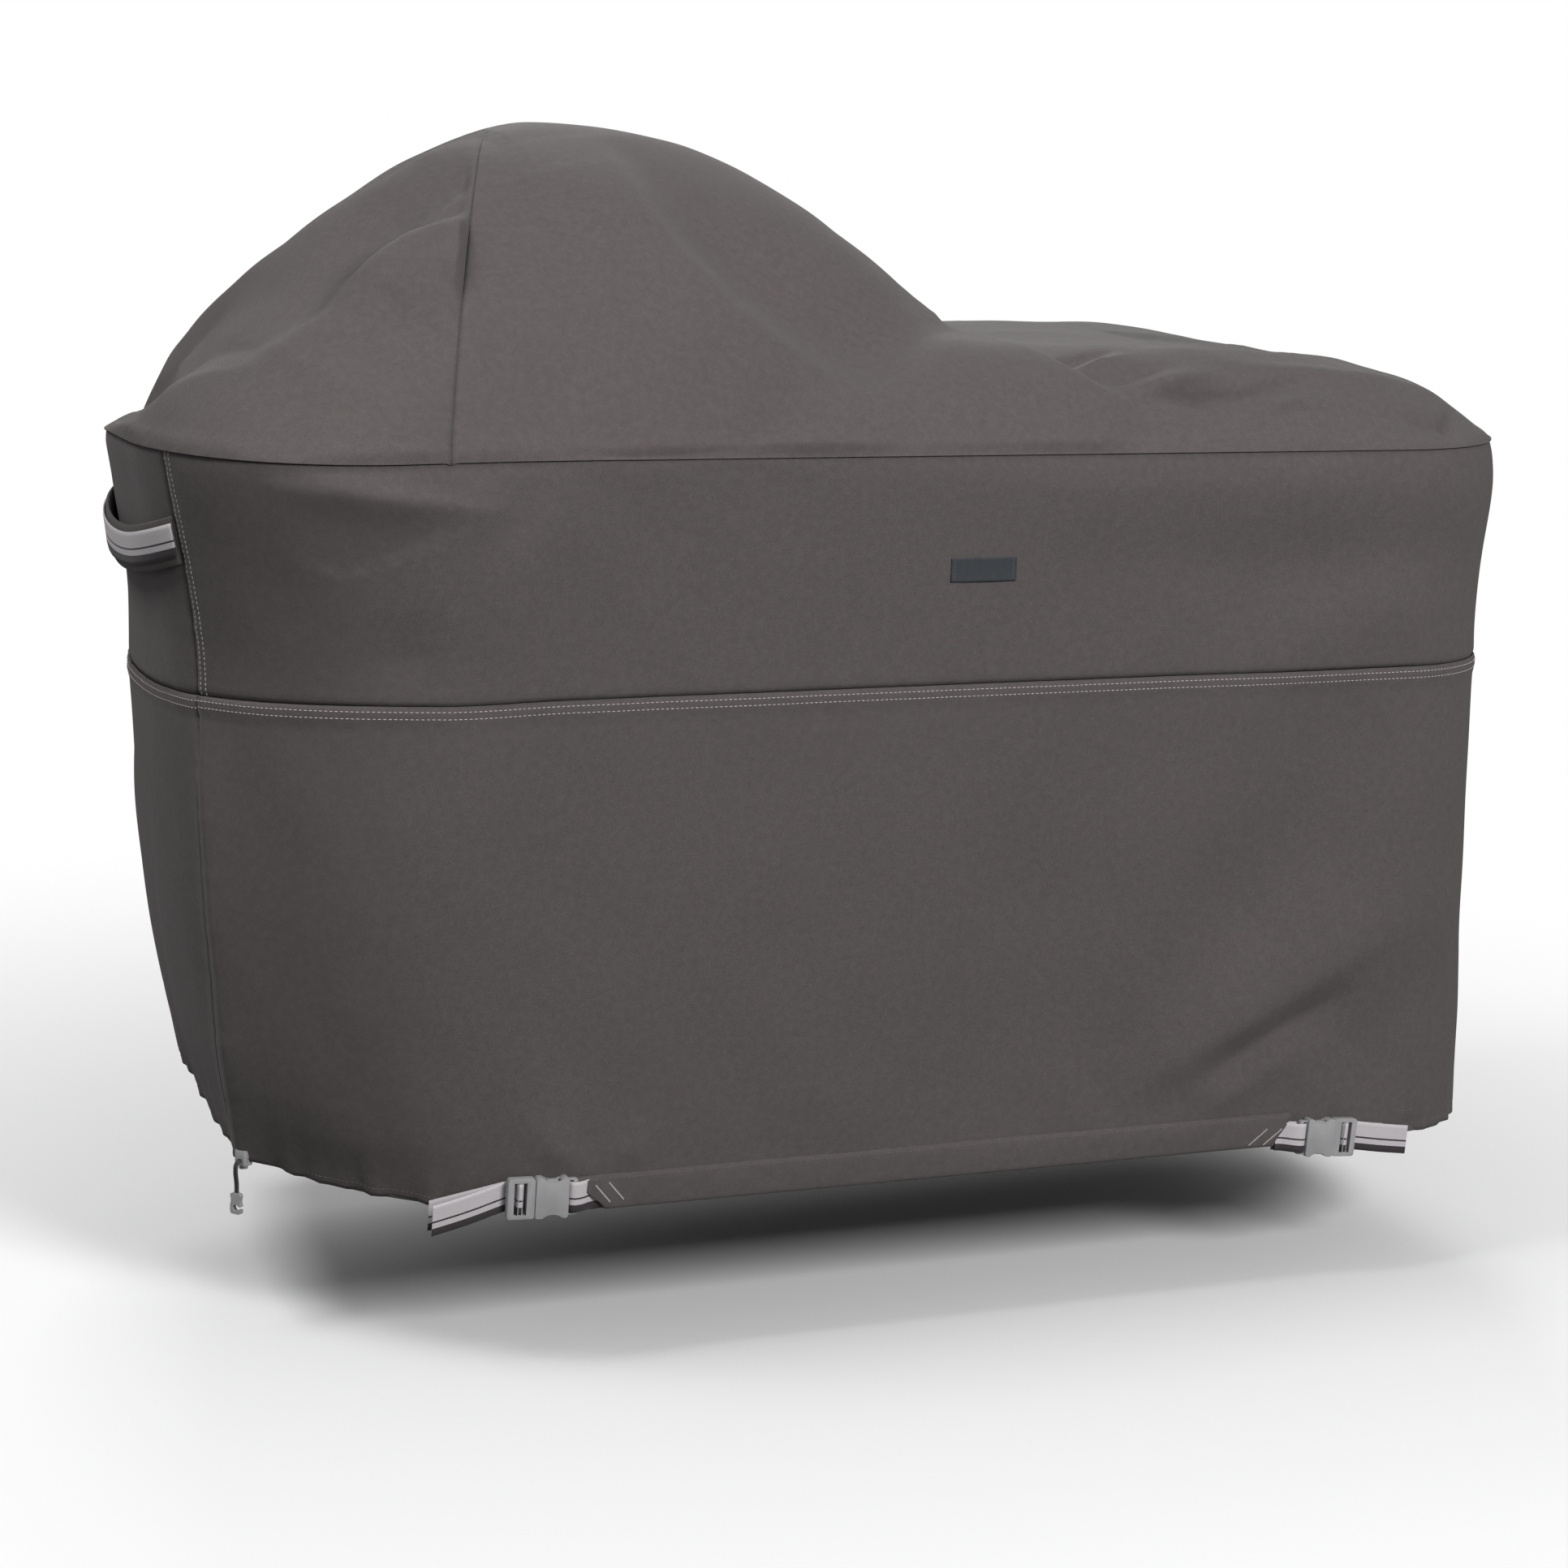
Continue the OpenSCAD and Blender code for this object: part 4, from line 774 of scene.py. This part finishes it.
# Handles.
# Each carry handle is a padded tube of the twill with striped webbing sewn along its face. Both
# ends are sewn into the end wall, and the middle stands a little off it for a hand.
handle_drop, right_reach = 84, 150
pad_h, pad_t, web_w, web_t = 46.0, 7.0, 32.0, 1.5
handle_z = rim_z - handle_drop
striped, tree, shader = new_material("striped webbing", 0.7, 0.12)
laid = node_of(tree, "ShaderNodeUVMap", uv_map="weave")
axes = node_of(tree, "ShaderNodeSeparateXYZ")
stripe = node_of(tree, "ShaderNodeValToRGB")
stripe.color_ramp.interpolation = "CONSTANT"
pale, dusk = (0.62, 0.585, 0.605, 1), (0.050, 0.042, 0.047, 1)
for at, colour in ((0.24, pale), (0.42, dusk), (0.48, pale)):
    stripe.color_ramp.elements.new(at).color = colour
stripe.color_ramp.elements[0].color = dusk
stripe.color_ramp.elements[-1].position = 1.0
stripe.color_ramp.elements[-1].color = pale
across_web = node_of(tree, "ShaderNodeMath", {1: 1000 / web_w, 2: 1.0}, operation="MULTIPLY_ADD")
picks = node_of(tree, "ShaderNodeTexWave", {"Scale": 180.0, "Distortion": 0.5}, bands_direction="X")
yarn = node_of(tree, "ShaderNodeTexNoise", {"Scale": 900.0, "Detail": 2.0})
grime = node_of(tree, "ShaderNodeMix", {"Factor": 0.35}, data_type="RGBA", blend_type="MULTIPLY")
relief = node_of(tree, "ShaderNodeBump", {"Strength": 0.5, "Distance": 0.0004})
knots = node_of(tree, "ShaderNodeMath", operation="MULTIPLY")
wire(tree,
     (laid, "UV", axes, 0),
     (axes, "Y", across_web, 0),
     (across_web, 0, stripe, "Fac"),
     (laid, "UV", picks, "Vector"),
     (laid, "UV", yarn, "Vector"),
     (picks, "Fac", knots, 0),
     (yarn, "Fac", knots, 1),
     (stripe, "Color", grime, "A"),
     (yarn, "Fac", grime, "B"),
     (grime, "Result", shader, "Base Color"),
     (knots, 0, relief, "Height"),
     (relief, "Normal", shader, "Normal"))


def wall_point(side, f, off, dz):
    """A point beside an end wall, at f from -1 to 1 along the handle, off the cloth and above its middle."""
    v = (handle_drop - dz) / (rim_z - middle_z)
    if side == "left":
        places = even(6.75, 8.25, 0.36, 2.0)[1:-1]
        t = np.interp((f + 1) / 2, np.linspace(0, 1, len(places)), places)
        nx, ny = outward(v, t)
        return skirt(v, t) + off[..., None] * np.stack([nx, ny, 0 * nx], -1)
    x = mix(right_end[0], right_end[1], ramp(v)) + off
    return np.stack(np.broadcast_arrays(x, right_reach * f, handle_z + dz), -1)


def handle_bow(f):
    """How far a handle stands off the wall and sags at f, and how thick its pad is there."""
    return 0.3 + 8 * (1 - f ** 4), 22 * (1 - f ** 2), pad_t * (0.55 + 0.45 * (1 - f ** 8))


for side in ("left", "right"):
    f, a = np.meshgrid(np.linspace(-1, 1, 72), np.linspace(0, 2 * np.pi, 25), indexing="ij")
    off, sag, thick = handle_bow(f)
    ca, sa = np.cos(a), np.sin(a)
    puffy = 0.25 * np.sin(f * 40) * (np.abs(ca) > 0.5)
    ring_t = thick / 2 * (1 + np.sign(ca) * np.abs(ca) ** 0.7) + puffy * 0.5
    ring_h = pad_h / 2 * np.sign(sa) * np.abs(sa) ** 0.8
    grid = wall_point(side, f, off + ring_t, ring_h - sag)
    if side == "right":
        grid = grid[:, ::-1]
    pad = finish_sheet(side + "_handle_tube", grid, 0.8e-3, twill)
    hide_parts(side + "_handle_pad")
    f, h = np.meshgrid(np.linspace(-1, 1, 96), np.linspace(0.5, -0.5, 9) * web_w, indexing="xy")
    off, sag, thick = handle_bow(f)
    lie = thick + 0.4 + 0.5 * (np.abs(h) < 13)
    grid = wall_point(side, f, off + lie + web_t, h - sag)
    web = finish_sheet(side + "_handle_web", grid, 1.3e-3, striped)
    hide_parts(side + "_handle_webbing")
    run = runs(grid)[1][4, -1] / 1000

# Hem straps.
# Striped polyester webbing: an anchor strap looped round the housing's bar and sewn under the
# channel, and a tail strap threaded through the adjuster with its free end hanging.
joints = {joint["name"]: joint for joint in frame["joints"]}


def buckle_frame(side):
    """Origin and axes of a buckle: x from the housing to the adjuster, y into the cover, z up the webbing."""
    upper, lower = joints[side + "_upper_catch_press"], joints[side + "_lower_catch_press"]
    high, low = np.array(upper["pos_m"]) * 1000, np.array(lower["pos_m"]) * 1000
    z = (high - low) / np.linalg.norm(high - low)
    x = np.cross(z, np.array(upper["axis"]))
    x /= np.linalg.norm(x)
    x = x if (side == "right") == (x[0] > 0) else -x
    y = np.cross(z, x)
    y = y if y[1] > 0 else -y
    return (high + low) / 2 - 3.5 * x, x, y, z


def eased(path):
    """A strap's path with its bends rounded."""
    path = np.array(path, float)
    for _ in range(3):
        a, b = path[:-1], path[1:]
        cut = np.stack([mix(a, b, 0.25), mix(a, b, 0.75)], 1).reshape(-1, 2)
        path = np.concatenate([path[:1], cut, path[-1:]])
    return path


# Paths in a buckle's x and y, in millimetres. A tail's free end has its middle, its direction and
# how much it drops for each millimetre past the adjuster.
adjuster_x, end_half = 28, 8
anchor_path = [(-70, 7.65), (-58, 7.65), (-45.25, 3.95), (-36.25, 3.95), (-36.25, -3.95), (-45.25, -3.95),
               (-60, 6.05), (-68, 6.05)]
tail_end = {"left": ((90.918, 33.952), (0.923683, 0.383158), 0.30),
            "right": ((61.129, 6.867), (1.0, 0.0), 0.08)}
for side in ("left", "right"):
    origin, x_way, y_way, z_way = buckle_frame(side)
    (ex, ey), (rx, ry), droop = tail_end[side]
    tail_path = [(ex + end_half * rx, ey + end_half * ry), (ex - end_half * rx, ey - end_half * ry),
                 (adjuster_x, 7.75), (11, 7.75), (11, -5.95), (20, -5.95), (20, 5.95), (32, 5.95),
                 (65, 1.95), (102, 3.95)]
    for label, path in (("anchor", anchor_path), ("tail", tail_path)):
        path = eased(path)
        step = np.gradient(path, axis=0)
        step /= np.linalg.norm(step, axis=1, keepdims=True)
        h = np.linspace(0.5, -0.5, 9)[:, None] * web_w
        face = path + 0.6 * np.stack([-step[:, 1], step[:, 0]], -1)
        drop = droop * np.maximum(0, path[:, 0] - adjuster_x) + 0.25 * np.maximum(0, path[:, 1] - 8)
        drop = drop * (label == "tail")
        grid = origin + face[None, :, :1] * x_way + face[None, :, 1:] * y_way + (h - drop)[..., None] * z_way
        if side == "left":
            grid = grid[:, ::-1]
        strap = finish_sheet(f"{side}_{label}_web", grid, 1.2e-3, striped)
        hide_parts(f"{side}_{label}_strap")
        run = runs(grid)[1][4, -1] / 1000

# Buckles and cord lock.
# Side-release buckles and the cord lock, moulded in grey acetal with softened edges and a fine satin
# grain, and the cord clip in the same acetal. The lock's spring is drawn steel wire.
edge_radius, edge_angle = 0.0005, math.radians(35)
acetal, tree, shader = new_material("grey acetal", 0.42)
flow = mottle(tree, shader, 60.0, (0.27, 0.27, 0.275), (0.36, 0.36, 0.365))
where = node_of(tree, "ShaderNodeTexCoord")
grain = node_of(tree, "ShaderNodeTexNoise", {"Scale": 1800.0, "Detail": 2.0})
rough = node_of(tree, "ShaderNodeMapRange", {"To Min": 0.36, "To Max": 0.5})
relief = node_of(tree, "ShaderNodeBump", {"Strength": 0.25, "Distance": 0.00008})
wire(tree,
     (flow, "Fac", rough, "Value"),
     (rough, "Result", shader, "Roughness"),
     (where, "Object", grain, "Vector"),
     (grain, "Fac", relief, "Height"),
     (relief, "Normal", shader, "Normal"))
steel, tree, shader = new_material("drawn steel", 0.35)
shader.inputs["Metallic"].default_value = 1.0
mottle(tree, shader, 3000.0, (0.42, 0.42, 0.44), (0.58, 0.58, 0.60))


def copy_of(node, name, material, flat_within=0.0):
    """A copy of a CAD node in its place, merged and with its material."""
    source = frame["nodes"][node]
    made = bpy.data.objects.new(name, source.data.copy())
    made.data.transform(source.matrix_world)
    bpy.context.collection.objects.link(made)
    merge_doubles(made, 0.00001, flat_within)
    made.data.materials.clear()
    made.data.materials.append(material)
    return made


coil = copy_of("cord_lock_spring", "cord_lock_coil", steel)
bpy.ops.object.shade_smooth()
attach(coil, "cover")
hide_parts("cord_lock_spring")
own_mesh(coil)

moulded = []
for side in ("left", "right"):
    moulded += [(side + "_buckle_housing", "cover"), (side + "_buckle_frame", "cover"),
                (side + "_upper_prong", side + "_upper_catch"),
                (side + "_lower_prong", side + "_lower_catch")]
moulded += [("cord_lock_barrel", "cover"), ("cord_lock_button", "lock_button")]
for node, body in moulded:
    moulding = copy_of(node, node + "_moulding", acetal, math.radians(2))
    edge = moulding.modifiers.new("soft edges", "BEVEL")
    edge.width = edge_radius
    edge.segments = 2
    edge.limit_method = "ANGLE"
    edge.angle_limit = edge_angle
    edge.use_clamp_overlap = True
    bpy.ops.object.modifier_apply(modifier="soft edges")
    bpy.ops.object.shade_smooth_by_angle(angle=math.radians(30))
    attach(moulding, body)
    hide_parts(node)

dress("cord_end_clip", acetal)

# Floor and light.
# A pale floor at the height of the ground below the cover, and four soft lamps: the strongest at the
# front right, the others above, at the left and behind.
floor_middle, floor_radius = (0.35, 0, -1.216), 9
bpy.ops.object.select_all(action="DESELECT")
bpy.ops.mesh.primitive_circle_add(vertices=96, radius=floor_radius, fill_type="NGON", location=(0, 0, 0))
floor = bpy.context.active_object
floor.name = "floor"
floor.data.transform(Matrix.Translation(floor_middle))
pale_floor, tree, shader = new_material("pale floor", 0.9)
path = node_of(tree, "ShaderNodeLightPath")
paint = node_of(tree, "ShaderNodeMix", data_type="RGBA")
paint.inputs["A"].default_value = (0.16, 0.16, 0.16, 1)
paint.inputs["B"].default_value = (0.88, 0.88, 0.88, 1)
glow = node_of(tree, "ShaderNodeEmission", {"Color": (1, 1, 1, 1)})
where = node_of(tree, "ShaderNodeTexCoord")
middle = node_of(tree, "ShaderNodeVectorMath", {1: floor_middle}, operation="DISTANCE")
fade = node_of(tree, "ShaderNodeMapRange", {"From Min": 0.5, "From Max": 2.2},
               interpolation_type="SMOOTHSTEP")
seen = node_of(tree, "ShaderNodeMath", operation="MULTIPLY")
join = node_of(tree, "ShaderNodeMixShader")
wire(tree,
     (path, "Is Camera Ray", paint, "Factor"),
     (paint, "Result", shader, "Base Color"),
     (where, "Object", middle, 0),
     (middle, "Value", fade, "Value"),
     (fade, "Result", seen, 0),
     (path, "Is Camera Ray", seen, 1),
     (seen, 0, join, "Fac"),
     (shader, 0, join, 1),
     (glow, 0, join, 2),
     (join, 0, tree.nodes["Material Output"], "Surface"))
floor.data.materials.append(pale_floor)

world = bpy.data.worlds.new("studio")
bpy.context.scene.world = world
world.use_nodes = True
tree = world.node_tree
tree.nodes["Background"].inputs["Color"].default_value = (0.22, 0.22, 0.225, 1)
backdrop = node_of(tree, "ShaderNodeBackground", {"Color": (1, 1, 1, 1), "Strength": 1.0})
path = node_of(tree, "ShaderNodeLightPath")
seen = node_of(tree, "ShaderNodeMath", operation="MAXIMUM")
either = node_of(tree, "ShaderNodeMixShader")
wire(tree,
     (path, "Is Camera Ray", seen, 0),
     (path, "Is Transmission Ray", seen, 1),
     (seen, 0, either, "Fac"),
     (tree.nodes["Background"], 0, either, 1),
     (backdrop, 0, either, 2),
     (either, 0, tree.nodes["World Output"], "Surface"))

for name, spot, aim, size, power in (
        ("key", (1.1, -4.7, 1.9), (0.3, 0, -0.5), 1.5, 232),
        ("top", (-2.3, -0.2, 3.0), (0.3, 0, -0.3), 1.5, 84),
        ("left", (-4.2, -0.4, 1.2), (-0.2, 0, -0.4), 1.8, 16),
        ("back", (1.6, 4.6, 2.2), (0.3, 0, -0.5), 2.6, 130)):
    lamp = bpy.data.objects.new(name, bpy.data.lights.new(name, "AREA"))
    lamp.data.size = size
    lamp.data.energy = power
    lamp.location = spot
    lamp.rotation_euler = (Vector(aim) - Vector(spot)).to_track_quat("-Z", "Y").to_euler()
    bpy.context.collection.objects.link(lamp)
